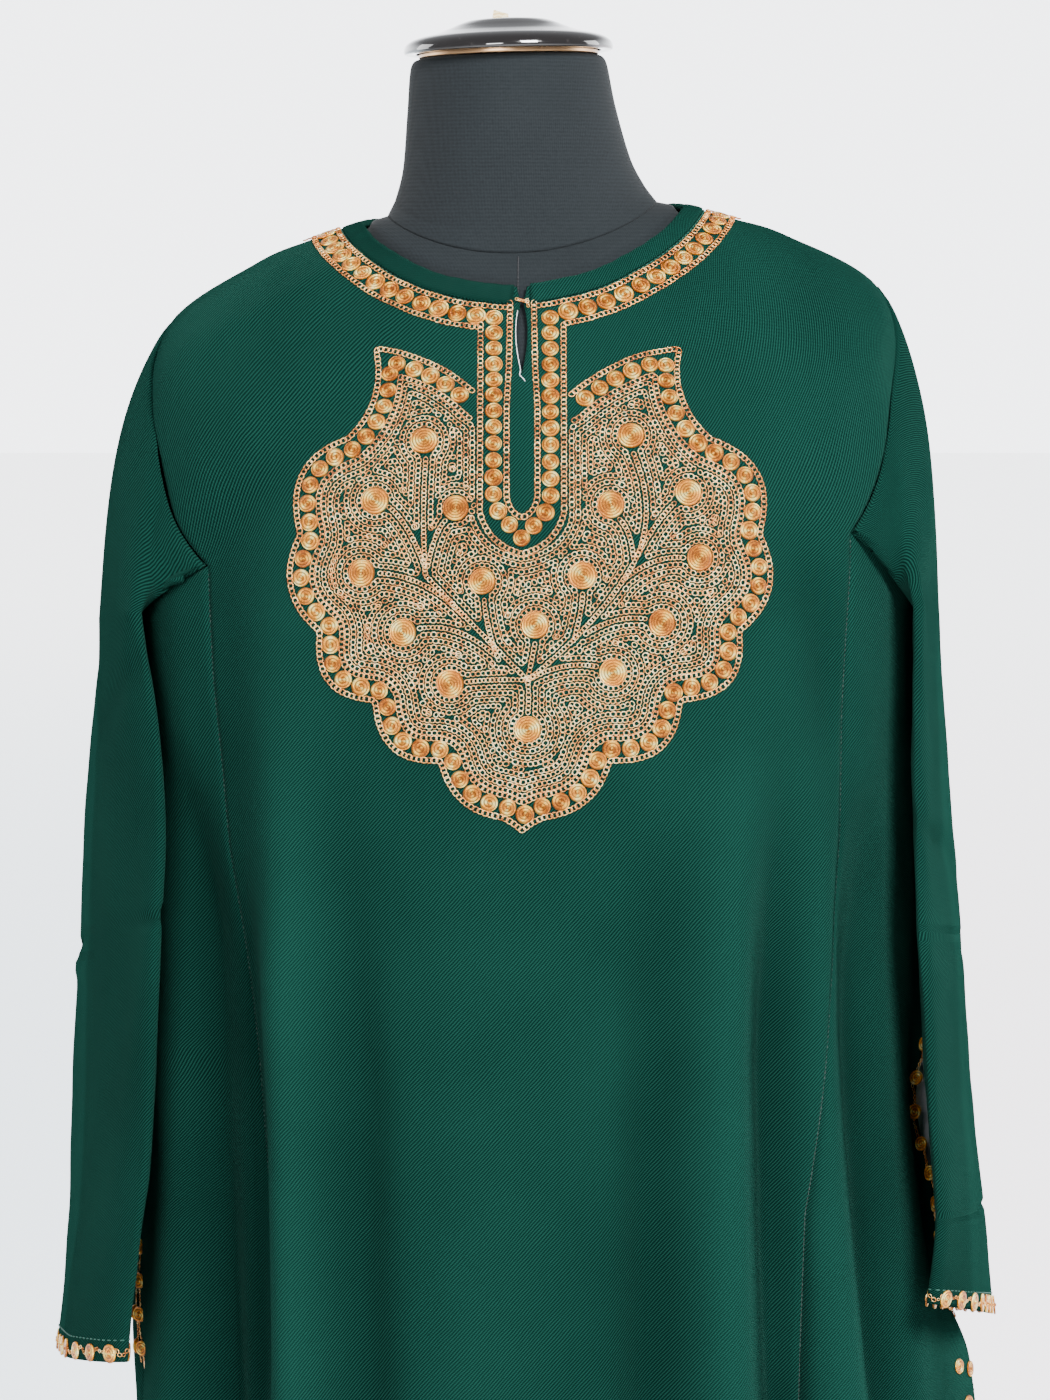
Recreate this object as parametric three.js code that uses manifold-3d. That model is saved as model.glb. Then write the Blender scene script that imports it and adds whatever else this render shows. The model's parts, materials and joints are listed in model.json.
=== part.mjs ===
// A loose wool pheran with raised metal-thread embroidery, worn on a limbless dress form that stands on a round base.
// Millimetres, +Z up, the garment's front faces -Y, and the origin is the middle of the base's underside.
import * as THREE from "three";
import { mergeVertices } from "three/addons/utils/BufferGeometryUtils.js";
import Module from "manifold-3d";

const wasm = await Module();
wasm.setup();

// Driving sizes
const CLOTH = 1.6;
const LINING = 1.0;
const SEAM_GAP = 0.3;
const EMBROIDERY = 1.0;
const BINDING = 1.1;
const LEAN = 0.052;
const LEAN_STARTS = 930;
const LEAN_FULL = 1180;
const SHOULDER_ROUND = 1.6;
const KEYHOLE = { top: 1360, tack: 1351, bottom: 1314, mouthHalfWidth: 2.8, tackHalfWidth: 0.7, halfWidth: 2.9 };
const POCKET = { top: 940, bottom: 742, gapeTop: 940, gapeBottom: 846, liningFold: 0.7, dish: { left: 9, right: 16 } };
const BASE = { radius: 200, thickness: 14, edge: 5 };
const POLE = { radius: 15, collarRadius: 38, collarHeight: 24 };
const TORSO_BOTTOM = 700;

// The body cloth, one row for each level ring from the neckline to the hem. left and right are half widths, front
// and back are depths, the three heights are at centre front, side and centre back, square is the power of the
// rounded outline, and the two seams are in degrees round from centre front.
const bodySections = [
  { name: "neckline", left: 90, right: 91, front: 72, back: 58, zFront: 1360, zSide: 1399.5, zBack: 1404, square: 2.0, frontSeam: 90, backSeam: 90 },
  { name: "binding edge", left: 100.5, right: 101, front: 77.5, back: 65, zFront: 1350.5, zSide: 1397, zBack: 1401, square: 2.0, frontSeam: 90, backSeam: 90 },
  { name: "embroidered band edge", left: 119, right: 119, front: 88, back: 76, zFront: 1334, zSide: 1391.5, zBack: 1394, square: 2.1, frontSeam: 90, backSeam: 90 },
  { name: "mid shoulder", left: 148, right: 148, front: 99, back: 86, zFront: 1314, zSide: 1381, zBack: 1380, square: 2.25, frontSeam: 90, backSeam: 90 },
  { name: "shoulder end", left: 197, right: 199, front: 114, back: 100, zFront: 1288, zSide: 1350, zBack: 1338, square: 2.6, frontSeam: 90, backSeam: 90 },
  { name: "upper armhole", left: 209, right: 211, front: 125, back: 107, zFront: 1262, zSide: 1298, zBack: 1290, square: 2.7, frontSeam: 65, backSeam: 115 },
  { name: "underarm", left: 214, right: 219, front: 135, back: 112, zFront: 1232, zSide: 1200, zBack: 1226, square: 2.55, frontSeam: 48.5, backSeam: 131.5 },
  { name: "bust", left: 213, right: 219, front: 143, back: 117, zFront: 1160, zSide: 1158, zBack: 1160, square: 2.5, frontSeam: 48.5, backSeam: 131.5 },
  { name: "waist", left: 210, right: 220, front: 143, back: 120, zFront: 1060, zSide: 1060, zBack: 1060, square: 2.4, frontSeam: 47.8, backSeam: 132 },
  { name: "high hip", left: 212, right: 221, front: 145, back: 124, zFront: 960, zSide: 960, zBack: 960, square: 2.35, frontSeam: 44, backSeam: 135 },
  { name: "hip", left: 216, right: 229, front: 148, back: 130, zFront: 860, zSide: 860, zBack: 860, square: 2.3, frontSeam: 39.8, backSeam: 139 },
  { name: "pocket foot", left: 219, right: 241, front: 152, back: 136, zFront: 760, zSide: 760, zBack: 760, square: 2.25, frontSeam: 38, backSeam: 141 },
  { name: "thigh", left: 228, right: 256, front: 158, back: 144, zFront: 640, zSide: 640, zBack: 640, square: 2.2, frontSeam: 36, backSeam: 143 },
  { name: "above the knee", left: 240, right: 266, front: 166, back: 154, zFront: 490, zSide: 490, zBack: 490, square: 2.1, frontSeam: 34, backSeam: 145 },
  { name: "hem", left: 252, right: 276, front: 174, back: 164, zFront: 340, zSide: 340, zBack: 340, square: 2.05, frontSeam: 33, backSeam: 146 },
];
const SHOULDER_ROW = 4;
const UNDERARM_ROW = 6;
const HEM_ROW = bodySections.length - 1;
const SEAM_STEPS = 7;

// The folds, one row each. A fold starts flat at zTop, and runs through its middle to its end, or on to the hem.
// The angles are in degrees round from centre front, a positive depth is a ridge, and width is in degrees.
const folds = [
  { name: "left armpit trough", zTop: 1335, aTop: -20, zMid: 1225, aMid: -44, depthMid: -5, zEnd: 1075, aEnd: -47, depthEnd: -7, width: 8 },
  { name: "left armpit ridge", zTop: 1325, aTop: -15, zMid: 1235, aMid: -34, depthMid: 3, zEnd: 1060, aEnd: -38, depthEnd: 3, width: 8 },
  { name: "left outer trough", zTop: 1130, aTop: -58, zMid: 1000, aMid: -56, depthMid: -14, zEnd: 700, aEnd: -52, depthEnd: -19, width: 5.5 },
  { name: "left outer ridge", zTop: 1100, aTop: -51, zMid: 940, aMid: -47, depthMid: 5, zEnd: 600, aEnd: -45, depthEnd: 9, width: 4 },
  { name: "left inner trough", zTop: 1090, aTop: -45, zMid: 900, aMid: -41, depthMid: -7, zEnd: 560, aEnd: -39, depthEnd: -12, width: 3.8 },
  { name: "left front ridge", zTop: 1175, aTop: -35, zMid: 960, aMid: -34, depthMid: 8, zEnd: 560, aEnd: -31, depthEnd: 12, width: 5 },
  { name: "left shallow trough", zTop: 1080, aTop: -24, zMid: 860, aMid: -21, depthMid: -4, zEnd: 520, aEnd: -19, depthEnd: -9, width: 5.5 },
  { name: "centre ridge", zTop: 1060, aTop: -6, zMid: 800, aMid: -6, depthMid: 3, zEnd: 500, aEnd: -5, depthEnd: 7, width: 8 },
  { name: "right centre trough", zTop: 1070, aTop: 17, zMid: 865, aMid: 13, depthMid: -6, zEnd: 500, aEnd: 10, depthEnd: -12, width: 5 },
  { name: "right first ridge", zTop: 1165, aTop: 27, zMid: 960, aMid: 23, depthMid: 6, zEnd: 560, aEnd: 20, depthEnd: 9, width: 4.5 },
  { name: "right middle trough", zTop: 1130, aTop: 33, zMid: 940, aMid: 29, depthMid: -7, zEnd: 560, aEnd: 27, depthEnd: -12, width: 3.8 },
  { name: "right second ridge", zTop: 1165, aTop: 38, zMid: 960, aMid: 36, depthMid: 6, zEnd: 560, aEnd: 35, depthEnd: 8, width: 4 },
  { name: "right armpit trough", zTop: 1290, aTop: 36, zMid: 1170, aMid: 44, depthMid: -5, zEnd: 1040, aEnd: 46, depthEnd: 0, width: 4 },
  { name: "right outer trough", zTop: 1120, aTop: 53, zMid: 960, aMid: 53, depthMid: -12, zEnd: 700, aEnd: 56, depthEnd: -19, width: 5.5 },
  { name: "right outer ridge", zTop: 1080, aTop: 46, zMid: 900, aMid: 46, depthMid: 4, zEnd: 600, aEnd: 47, depthEnd: 9, width: 3.8 },
  { name: "left side trough", zTop: 775, aTop: -88, zMid: 690, aMid: -86, depthMid: -13, zEnd: 500, aEnd: -84, depthEnd: -15, width: 7 },
  { name: "left pocket lip", zTop: 850, aTop: -82, zMid: 775, aMid: -84, depthMid: 6, zEnd: 735, aEnd: -84, depthEnd: 0, width: 6 },
  { name: "right pocket front lip", zTop: 945, aTop: 84, zMid: 895, aMid: 84, depthMid: -5, zEnd: 800, aEnd: 84, depthEnd: 0, width: 5 },
  { name: "right pocket back lip", zTop: 945, aTop: 95, zMid: 895, aMid: 95, depthMid: 7, zEnd: 800, aEnd: 95, depthEnd: 0, width: 6 },
  { name: "right side flare", zTop: 800, aTop: 90, zMid: 745, aMid: 90, depthMid: 13, zEnd: 600, aEnd: 91, depthEnd: 7, width: 9 },
  { name: "right side trough", zTop: 720, aTop: 76, zMid: 600, aMid: 76, depthMid: -11, zEnd: 450, aEnd: 77, depthEnd: -15, width: 6 },
  { name: "left side ridge", zTop: 700, aTop: -70, zMid: 560, aMid: -70, depthMid: 8, zEnd: 420, aEnd: -70, depthEnd: 11, width: 6 },
  { name: "back left outer trough", zTop: 1110, aTop: -126, zMid: 960, aMid: -124, depthMid: -11, zEnd: 620, aEnd: -122, depthEnd: -17, width: 6 },
  { name: "back left ridge", zTop: 1150, aTop: -141, zMid: 960, aMid: -141, depthMid: 7, zEnd: 580, aEnd: -140, depthEnd: 11, width: 6 },
  { name: "back left trough", zTop: 1120, aTop: -154, zMid: 930, aMid: -155, depthMid: -8, zEnd: 560, aEnd: -155, depthEnd: -13, width: 6 },
  { name: "back centre ridge", zTop: 1180, aTop: -169, zMid: 930, aMid: -169, depthMid: 6, zEnd: 560, aEnd: -168, depthEnd: 10, width: 6 },
  { name: "back centre trough", zTop: 1110, aTop: 178, zMid: 900, aMid: 177, depthMid: -8, zEnd: 540, aEnd: 177, depthEnd: -14, width: 6 },
  { name: "back right ridge", zTop: 1150, aTop: 162, zMid: 950, aMid: 162, depthMid: 7, zEnd: 560, aEnd: 162, depthEnd: 11, width: 6 },
  { name: "back right trough", zTop: 1120, aTop: 148, zMid: 940, aMid: 147, depthMid: -9, zEnd: 560, aEnd: 147, depthEnd: -14, width: 6 },
  { name: "back right outer ridge", zTop: 1120, aTop: 133, zMid: 950, aMid: 133, depthMid: 6, zEnd: 560, aEnd: 133, depthEnd: 10, width: 5 },
  { name: "back right outer trough", zTop: 1080, aTop: 120, zMid: 940, aMid: 120, depthMid: -9, zEnd: 620, aEnd: 119, depthEnd: -15, width: 6 },
];

// The hanging sleeves, one row for each flattened ring. front and back are the two pressed edges, and bulge is how
// far the outer layer stands off the line between them.
const sleeveSections = {
  left: [
    { name: "below the armhole", xFront: -207, yFront: -96, zFront: 1185, xBack: -238, yBack: 52, zBack: 1166, bulge: 12 },
    { name: "upper arm", xFront: -196, yFront: -100, zFront: 1092, xBack: -250, yBack: 50, zBack: 1072, bulge: 12 },
    { name: "elbow crease", xFront: -197, yFront: -101, zFront: 1005, xBack: -257, yBack: 50, zBack: 975, bulge: 11 },
    { name: "forearm", xFront: -203, yFront: -101, zFront: 910, xBack: -260, yBack: 50, zBack: 885, bulge: 12 },
    { name: "above the cuff", xFront: -211, yFront: -100, zFront: 838, xBack: -264, yBack: 50, zBack: 812, bulge: 12 },
    { name: "cuff edge", xFront: -219, yFront: -97, zFront: 771, xBack: -270, yBack: 50, zBack: 741, bulge: 13 },
  ],
  right: [
    { name: "below the armhole", xFront: 213, yFront: -96, zFront: 1188, xBack: 237, yBack: 52, zBack: 1172, bulge: 5 },
    { name: "upper arm", xFront: 214, yFront: -99, zFront: 1095, xBack: 244, yBack: 50, zBack: 1078, bulge: 6 },
    { name: "elbow crease", xFront: 217, yFront: -100, zFront: 1012, xBack: 252, yBack: 50, zBack: 985, bulge: 8 },
    { name: "forearm", xFront: 222, yFront: -100, zFront: 925, xBack: 257, yBack: 50, zBack: 902, bulge: 9 },
    { name: "above the cuff", xFront: 229, yFront: -99, zFront: 850, xBack: 267, yBack: 50, zBack: 826, bulge: 9 },
    { name: "cuff edge", xFront: 225, yFront: -97, zFront: 804, xBack: 275, yBack: 50, zBack: 760, bulge: 10 },
  ],
};
const SLEEVE = { edgeHalfThickness: 4.6, innerBulge: 0.5, peakSkew: 0.68, shoulderBulge: 13, underarmEase: 3.5, capRings: 5, ringsPerRow: 2 };

// The dress form's torso below its shoulders, which follow the body cloth from inside.
const FORM_CLEARANCE = CLOTH + 1.1;
const formSections = [
  { name: "arm plate", left: 190, right: 190, front: 120, back: 101, zFront: 1258, zSide: 1296, zBack: 1286, square: 2.6 },
  { name: "armpit", left: 172, right: 172, front: 128, back: 104, zFront: 1228, zSide: 1222, zBack: 1224, square: 2.4 },
  { name: "bust line", left: 163, right: 163, front: 136, back: 104, zFront: 1160, zSide: 1160, zBack: 1160, square: 2.3 },
  { name: "under the bust", left: 146, right: 146, front: 118, back: 94, zFront: 1085, zSide: 1085, zBack: 1085, square: 2.2 },
  { name: "waist line", left: 122, right: 122, front: 93, back: 80, zFront: 1005, zSide: 1005, zBack: 1005, square: 2.1 },
  { name: "high hip line", left: 148, right: 148, front: 102, back: 101, zFront: 915, zSide: 915, zBack: 915, square: 2.15 },
  { name: "hip line", left: 166, right: 166, front: 108, back: 116, zFront: 830, zSide: 830, zBack: 830, square: 2.2 },
  { name: "lower edge", left: 160, right: 160, front: 103, back: 110, zFront: 720, zSide: 720, zBack: 720, square: 2.2 },
  { name: "rounded edge", left: 152, right: 152, front: 96, back: 103, zFront: TORSO_BOTTOM, zSide: TORSO_BOTTOM, zBack: TORSO_BOTTOM, square: 2.2 },
];
const neckBase = { name: "neck seam", left: 75, right: 75, front: 59, back: 50, zFront: 1378, zSide: 1403, zBack: 1413, square: 2.0 };
const neckSections = [
  { name: "flare", xMiddle: -1, halfWidth: 70, front: 55, back: 48, zFront: 1392, zSide: 1411, zBack: 1420, lean: 0.052 },
  { name: "lower neck", xMiddle: -3, halfWidth: 63.5, front: 52, back: 47, zFront: 1418, zSide: 1428, zBack: 1434, lean: 0.045 },
  { name: "mid neck", xMiddle: -6, halfWidth: 58, front: 50, back: 47, zFront: 1455, zSide: 1458, zBack: 1460, lean: 0.035 },
  { name: "upper neck", xMiddle: -7.5, halfWidth: 54.5, front: 49, back: 47, zFront: 1482, zSide: 1482, zBack: 1482, lean: 0.028 },
  { name: "top edge", xMiddle: -7.5, halfWidth: 50, front: 45, back: 43, zFront: 1486.85, zSide: 1486.85, zBack: 1486.85, lean: 0.028 },
];
const CAP = { x: -7.5, y: -1, plateRadius: 50, plateBottom: 1487, plateThickness: 3, domeRadius: 57.5, domeHeight: 17.5, tilt: -0.028 };

// The embroidery's outlines on the chest, in the x and z of the front view
const PLACKET = { halfWidth: 24, foot: 1219, shoulder: 1238, tongueHalfWidth: 7, tongueFoot: 1241, top: 1356 };
const LEAF = { tip: 1069, innerTop: 1302, leftShare: 0.95, rightShare: 1.02 };
// One row for each point where two lobes of the leaf's edge meet, up from the tip, on the +X side. swell is how far
// the lobe below that point stands out.
const leafCusps = [
  { name: "first lobe", x: 47, up: 39, swell: 9 },
  { name: "second lobe", x: 84, up: 71, swell: 12 },
  { name: "third lobe", x: 115, up: 108, swell: 13 },
  { name: "fourth lobe", x: 126, up: 160, swell: 11 },
  { name: "fifth lobe", x: 99, up: 212, swell: 14 },
  { name: "horn", x: 86, up: 260, swell: -8 },
];

// Colours, as the photograph shows them
const green = new THREE.MeshStandardMaterial({ color: new THREE.Color(0.012, 0.115, 0.08), roughness: 0.85, metalness: 0, name: "green_wool" });
const gold = new THREE.MeshStandardMaterial({ color: new THREE.Color(0.6, 0.33, 0.13), roughness: 0.4, metalness: 0.6, name: "gold_thread" });
const liningGrey = new THREE.MeshStandardMaterial({ color: new THREE.Color(0.5, 0.56, 0.62), roughness: 0.9, metalness: 0, name: "grey_lining" });
const formBlack = new THREE.MeshStandardMaterial({ color: new THREE.Color(0.03, 0.034, 0.042), roughness: 0.9, metalness: 0, name: "form_jersey" });
const gloss = new THREE.MeshStandardMaterial({ color: new THREE.Color(0.01, 0.009, 0.009), roughness: 0.12, metalness: 0, name: "black_gloss" });
const bronze = new THREE.MeshStandardMaterial({ color: new THREE.Color(0.35, 0.2, 0.11), roughness: 0.3, metalness: 0.9, name: "bronze_plate" });
const paleWood = new THREE.MeshStandardMaterial({ color: new THREE.Color(0.75, 0.6, 0.35), roughness: 0.6, metalness: 0, name: "pale_wood" });
const steel = new THREE.MeshStandardMaterial({ color: new THREE.Color(0.55, 0.55, 0.56), roughness: 0.3, metalness: 0.95, name: "steel" });
const iron = new THREE.MeshStandardMaterial({ color: new THREE.Color(0.02, 0.02, 0.022), roughness: 0.5, metalness: 0.4, name: "black_iron" });

const radians = THREE.MathUtils.degToRad;
const clamp = THREE.MathUtils.clamp;
const lerp = THREE.MathUtils.lerp;
const smoothstep = THREE.MathUtils.smoothstep;

// A column of a table at a row number that may lie between rows, on a smooth curve through the rows.
function smoothColumn(table, key, row) {
  const i = clamp(Math.floor(row), 0, table.length - 2);
  const t = row - i;
  const [a, b, c, d] = [-1, 0, 1, 2].map((k) => table[clamp(i + k, 0, table.length - 1)][key]);
  return b + 0.5 * t * (c - a + t * (2 * a - 5 * b + 4 * c - d + t * (3 * (b - c) + d - a)));
}

// The same in straight steps, for a seam that must not swing past its rows.
function straightColumn(table, key, row) {
  const i = clamp(Math.floor(row), 0, table.length - 2);
  return lerp(table[i][key], table[i + 1][key], row - i);
}

// The shoulders lean, and what hangs below them does not.
function leaned(p) {
  p.z += LEAN * p.x * smoothstep(p.z, LEAN_STARTS, LEAN_FULL);
  return p;
}

// A point of a level ring: a rounded rectangle whose sides, front and back have their own sizes and heights.
function ringPoint(table, degrees, row, inset = 0) {
  const s = Math.sin(radians(degrees));
  const c = Math.cos(radians(degrees));
  const power = smoothColumn(table, "square", row);
  const k = (Math.abs(s) ** power + Math.abs(c) ** power) ** (-1 / power);
  const width = smoothColumn(table, s < 0 ? "left" : "right", row) - inset;
  const depth = smoothColumn(table, c > 0 ? "front" : "back", row) - inset;
  const zMiddle = smoothColumn(table, c > 0 ? "zFront" : "zBack", row);
  const zSide = smoothColumn(table, "zSide", row);
  const z = lerp(zSide, zMiddle, (Math.abs(c) * k) ** SHOULDER_ROUND) - inset;
  return leaned(new THREE.Vector3(width * s * k, -depth * c * k, z));
}

function foldDepth(fold, degrees, z) {
  if (z > fold.zTop) return 0;
  const upper = smoothstep(fold.zTop - z, 0, fold.zTop - fold.zMid);
  const lower = smoothstep(fold.zMid - z, 0, fold.zMid - fold.zEnd);
  const depth = z > fold.zMid ? upper * fold.depthMid : lerp(fold.depthMid, fold.depthEnd, lower);
  const reach = clamp((fold.zTop - z) / (fold.zTop - fold.zMid), 0, 1);
  const further = clamp((fold.zMid - z) / (fold.zMid - fold.zEnd), 0, 1);
  const middle = z > fold.zMid ? lerp(fold.aTop, fold.aMid, reach) : lerp(fold.aMid, fold.aEnd, further);
  const away = (THREE.MathUtils.euclideanModulo(degrees - middle + 180, 360) - 180) / fold.width;
  return depth * Math.exp(-away * away);
}

// The outer face of the body cloth, folds and all.
function bodyPoint(degrees, row) {
  const p = ringPoint(bodySections, degrees, row);
  const push = folds.reduce((sum, fold) => sum + foldDepth(fold, degrees, p.z), 0);
  p.x += push * Math.sin(radians(degrees));
  p.y -= push * Math.cos(radians(degrees));
  return p;
}

function bodyNormal(degrees, row) {
  const across = bodyPoint(degrees + 0.5, row).sub(bodyPoint(degrees - 0.5, row));
  const down = bodyPoint(degrees, Math.min(row + 0.02, HEM_ROW)).sub(bodyPoint(degrees, Math.max(row - 0.02, 0)));
  return down.cross(across).normalize();
}

// A grid of points with its four-cornered cells, which face outwards where rows run down and columns run towards +X.
// Where pieces share a seam, normalAt gives them the same normals along it.
function gridOf(rows, columns, pointAt, normalAt = null, closed = false) {
  const points = [];
  const normals = [];
  const cells = [];
  rows.forEach((row) => columns.forEach((column) => {
    points.push(pointAt(column, row));
    if (normalAt) normals.push(normalAt(column, row));
  }));
  const across = columns.length;
  for (let r = 0; r + 1 < rows.length; r += 1) {
    for (let c = 0; c < (closed ? across : across - 1); c += 1) {
      const next = (c + 1) % across;
      cells.push([r * across + c, (r + 1) * across + c, (r + 1) * across + next, r * across + next]);
    }
  }
  return { points, normals, cells };
}

function joinedGrids(...grids) {
  const joined = { points: [], normals: [], cells: [] };
  for (const grid of grids) {
    const first = joined.points.length;
    joined.points.push(...grid.points);
    joined.normals.push(...grid.normals);
    joined.cells.push(...grid.cells.map((cell) => cell.map((i) => i + first)));
  }
  return joined;
}

function geometryOf(points, triangles) {
  const geometry = new THREE.BufferGeometry();
  geometry.setAttribute("position", new THREE.Float32BufferAttribute(points.flatMap((p) => p.toArray()), 3));
  geometry.setIndex(triangles.flat());
  return geometry;
}

// Cloth of even thickness under a grid. lift moves its outer face off the grid's points, along their normals.
function wallOf(grid, thickness, lift = 0) {
  const places = new Map();
  const points = [];
  const merged = grid.points.map((p) => {
    const key = p.toArray().map((value) => Math.round(value * 100)).join(",");
    if (!places.has(key)) {
      places.set(key, points.length);
      points.push(p);
    }
    return places.get(key);
  });
  const faces = grid.cells
    .map((cell) => cell.map((i) => merged[i]))
    .flatMap(([a, b, c, d]) => (points[a].distanceTo(points[c]) < points[b].distanceTo(points[d])
      ? [[a, b, c], [a, c, d]]
      : [[a, b, d], [b, c, d]]))
    .filter(([a, b, c]) => a !== b && b !== c && a !== c);
  const normals = points.map(() => new THREE.Vector3());
  grid.normals.forEach((normal, i) => normals[merged[i]].add(normal));
  if (grid.normals.length === 0) {
    for (const face of faces) {
      const [a, b, c] = face.map((i) => points[i]);
      const normal = b.clone().sub(a).cross(c.clone().sub(a));
      face.forEach((i) => normals[i].add(normal));
    }
  }
  normals.forEach((n) => n.normalize());
  const outer = points.map((p, i) => p.clone().addScaledVector(normals[i], lift));
  const inner = points.map((p, i) => p.clone().addScaledVector(normals[i], lift - thickness));
  const n = points.length;
  const directed = new Set(faces.flatMap(([a, b, c]) => [a + "_" + b, b + "_" + c, c + "_" + a]));
  const triangles = [...faces, ...faces.map(([a, b, c]) => [a + n, c + n, b + n])];
  for (const edge of directed) {
    const [a, b] = edge.split("_").map(Number);
    if (directed.has(b + "_" + a)) continue;
    if (points[b].z > points[a].z) triangles.push([b, a, a + n], [b, a + n, b + n]);
    else triangles.push([b, a, b + n], [a, a + n, b + n]);
  }
  return geometryOf([...outer, ...inner], triangles);
}

// A solid through a stack of closed rings, from the lowest to the highest, with a fan over each end.
function loftOf(rings) {
  const around = rings[0].length;
  const points = rings.flat();
  const triangles = [];
  for (let r = 0; r + 1 < rings.length; r += 1) {
    for (let i = 0; i < around; i += 1) {
      const j = (i + 1) % around;
      const [a, b, c, d] = [r * around + i, r * around + j, (r + 1) * around + j, (r + 1) * around + i];
      triangles.push([a, b, c], [a, c, d]);
    }
  }
  for (const [ring, first, up] of [[rings[0], 0, false], [rings.at(-1), points.length - around, true]]) {
    const middle = ring.reduce((sum, p) => sum.add(p), new THREE.Vector3()).divideScalar(around);
    const centre = points.push(middle) - 1;
    for (let i = 0; i < around; i += 1) {
      const [a, b] = [first + i, first + ((i + 1) % around)];
      triangles.push(up ? [a, b, centre] : [b, a, centre]);
    }
  }
  return geometryOf(points, triangles);
}

function steps(from, to, count) {
  return Array.from({ length: count + 1 }, (_, i) => lerp(from, to, i / count));
}

// Rows of the body cloth: the armhole stretch has as many steps as the sleeve's ring has along a seam.
const upperRows = [0, 0.5, 1, 1.5, 2, 2.5, 3, 3.5];
const armholeRows = steps(SHOULDER_ROW, UNDERARM_ROW, SEAM_STEPS);
const lowerRows = steps(UNDERARM_ROW, HEM_ROW, 14).slice(1);
const panelRows = [...upperRows, ...armholeRows, ...lowerRows];

const gapDegrees = (row) => THREE.MathUtils.radToDeg(SEAM_GAP / 2 / smoothColumn(bodySections, "front", row));

function keyholeHalf(z) {
  if (z > KEYHOLE.tack) return lerp(KEYHOLE.tackHalfWidth, KEYHOLE.mouthHalfWidth, (z - KEYHOLE.tack) / (KEYHOLE.top - KEYHOLE.tack));
  const t = (KEYHOLE.tack - z) / (KEYHOLE.tack - KEYHOLE.bottom);
  return t < 1 ? lerp(KEYHOLE.tackHalfWidth * (1 - t), KEYHOLE.halfWidth, Math.sin(Math.PI * t ** 0.8)) : 0;
}

// The front is cut in one piece, with the keyhole slit down from the middle of the neckline.
const FRONT_HALF_COLUMNS = 14;
const frontEdge = (row) => straightColumn(bodySections, "frontSeam", row) - gapDegrees(row);
function frontHalf(side) {
  const columns = side < 0 ? steps(-1, 0, FRONT_HALF_COLUMNS) : steps(0, 1, FRONT_HALF_COLUMNS);
  const pointAt = (u, row) => {
    const p = bodyPoint(u * frontEdge(row), row);
    if (u === 0) p.x += side * keyholeHalf(p.z);
    return p;
  };
  const normalAt = (u, row) => bodyNormal(u * straightColumn(bodySections, "frontSeam", row), row);
  return (rows, keep = () => true) => gridOf(rows, columns.filter(keep), pointAt, normalAt);
}
const frontGrid = joinedGrids(frontHalf(-1)(panelRows), frontHalf(1)(panelRows));
const frontPanel = wallOf(frontGrid, CLOTH);

const BACK_COLUMNS = 18;
const backEdge = (row) => straightColumn(bodySections, "backSeam", row) + gapDegrees(row);
const backAngle = (u, edge) => lerp(edge, 360 - edge, u);
const backPart = (rows) => gridOf(
  rows,
  steps(0, 1, BACK_COLUMNS),
  (u, row) => bodyPoint(backAngle(u, backEdge(row)), row),
  (u, row) => bodyNormal(backAngle(u, straightColumn(bodySections, "backSeam", row)), row),
);
const backGrid = backPart(panelRows);
const backPanel = wallOf(backGrid, CLOTH);

// The side gores, each from its seam to the side seam, where the pocket mouth gapes.
const GORE_STEPS = [0, 0.24, 0.48, 0.7, 0.88, 1];
const GORE_COLUMNS = GORE_STEPS.length - 1;
const goreRows = [UNDERARM_ROW, ...lowerRows];
const pocketGape = {
  left: { front: 3.4, back: 3.0 },
  right: { front: 4.6, back: 3.4 },
};
function gapeDegrees(side, part, z) {
  const t = clamp((POCKET.gapeTop - z) / (POCKET.gapeTop - POCKET.gapeBottom), 0, 1);
  return pocketGape[side][part] * Math.sin(Math.PI * t ** 0.85);
}
function goreAngle(side, part, u, row, gap) {
  const sign = side === "left" ? -1 : 1;
  const towardsSide = part === "front" ? 1 : -1;
  const z = smoothColumn(bodySections, "zSide", row);
  const atSeam = straightColumn(bodySections, part === "front" ? "frontSeam" : "backSeam", row) + towardsSide * gap;
  const atSide = 90 - towardsSide * (gap + gapeDegrees(side, part, z));
  return sign * lerp(atSeam, atSide, u);
}
const gorePoint = (side, part, u, row) => bodyPoint(goreAngle(side, part, u, row, gapDegrees(row)), row);
const goreNormal = (side, part, u, row) => bodyNormal(goreAngle(side, part, u, row, 0), row);
function gore(side, part) {
  const flipped = (side === "left") === (part === "front");
  const columns = flipped ? [...GORE_STEPS].reverse() : GORE_STEPS;
  const pointAt = (u, row) => gorePoint(side, part, u, row);
  const normalAt = (u, row) => goreNormal(side, part, u, row);
  return wallOf(gridOf(goreRows, columns, pointAt, normalAt), CLOTH);
}

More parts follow.
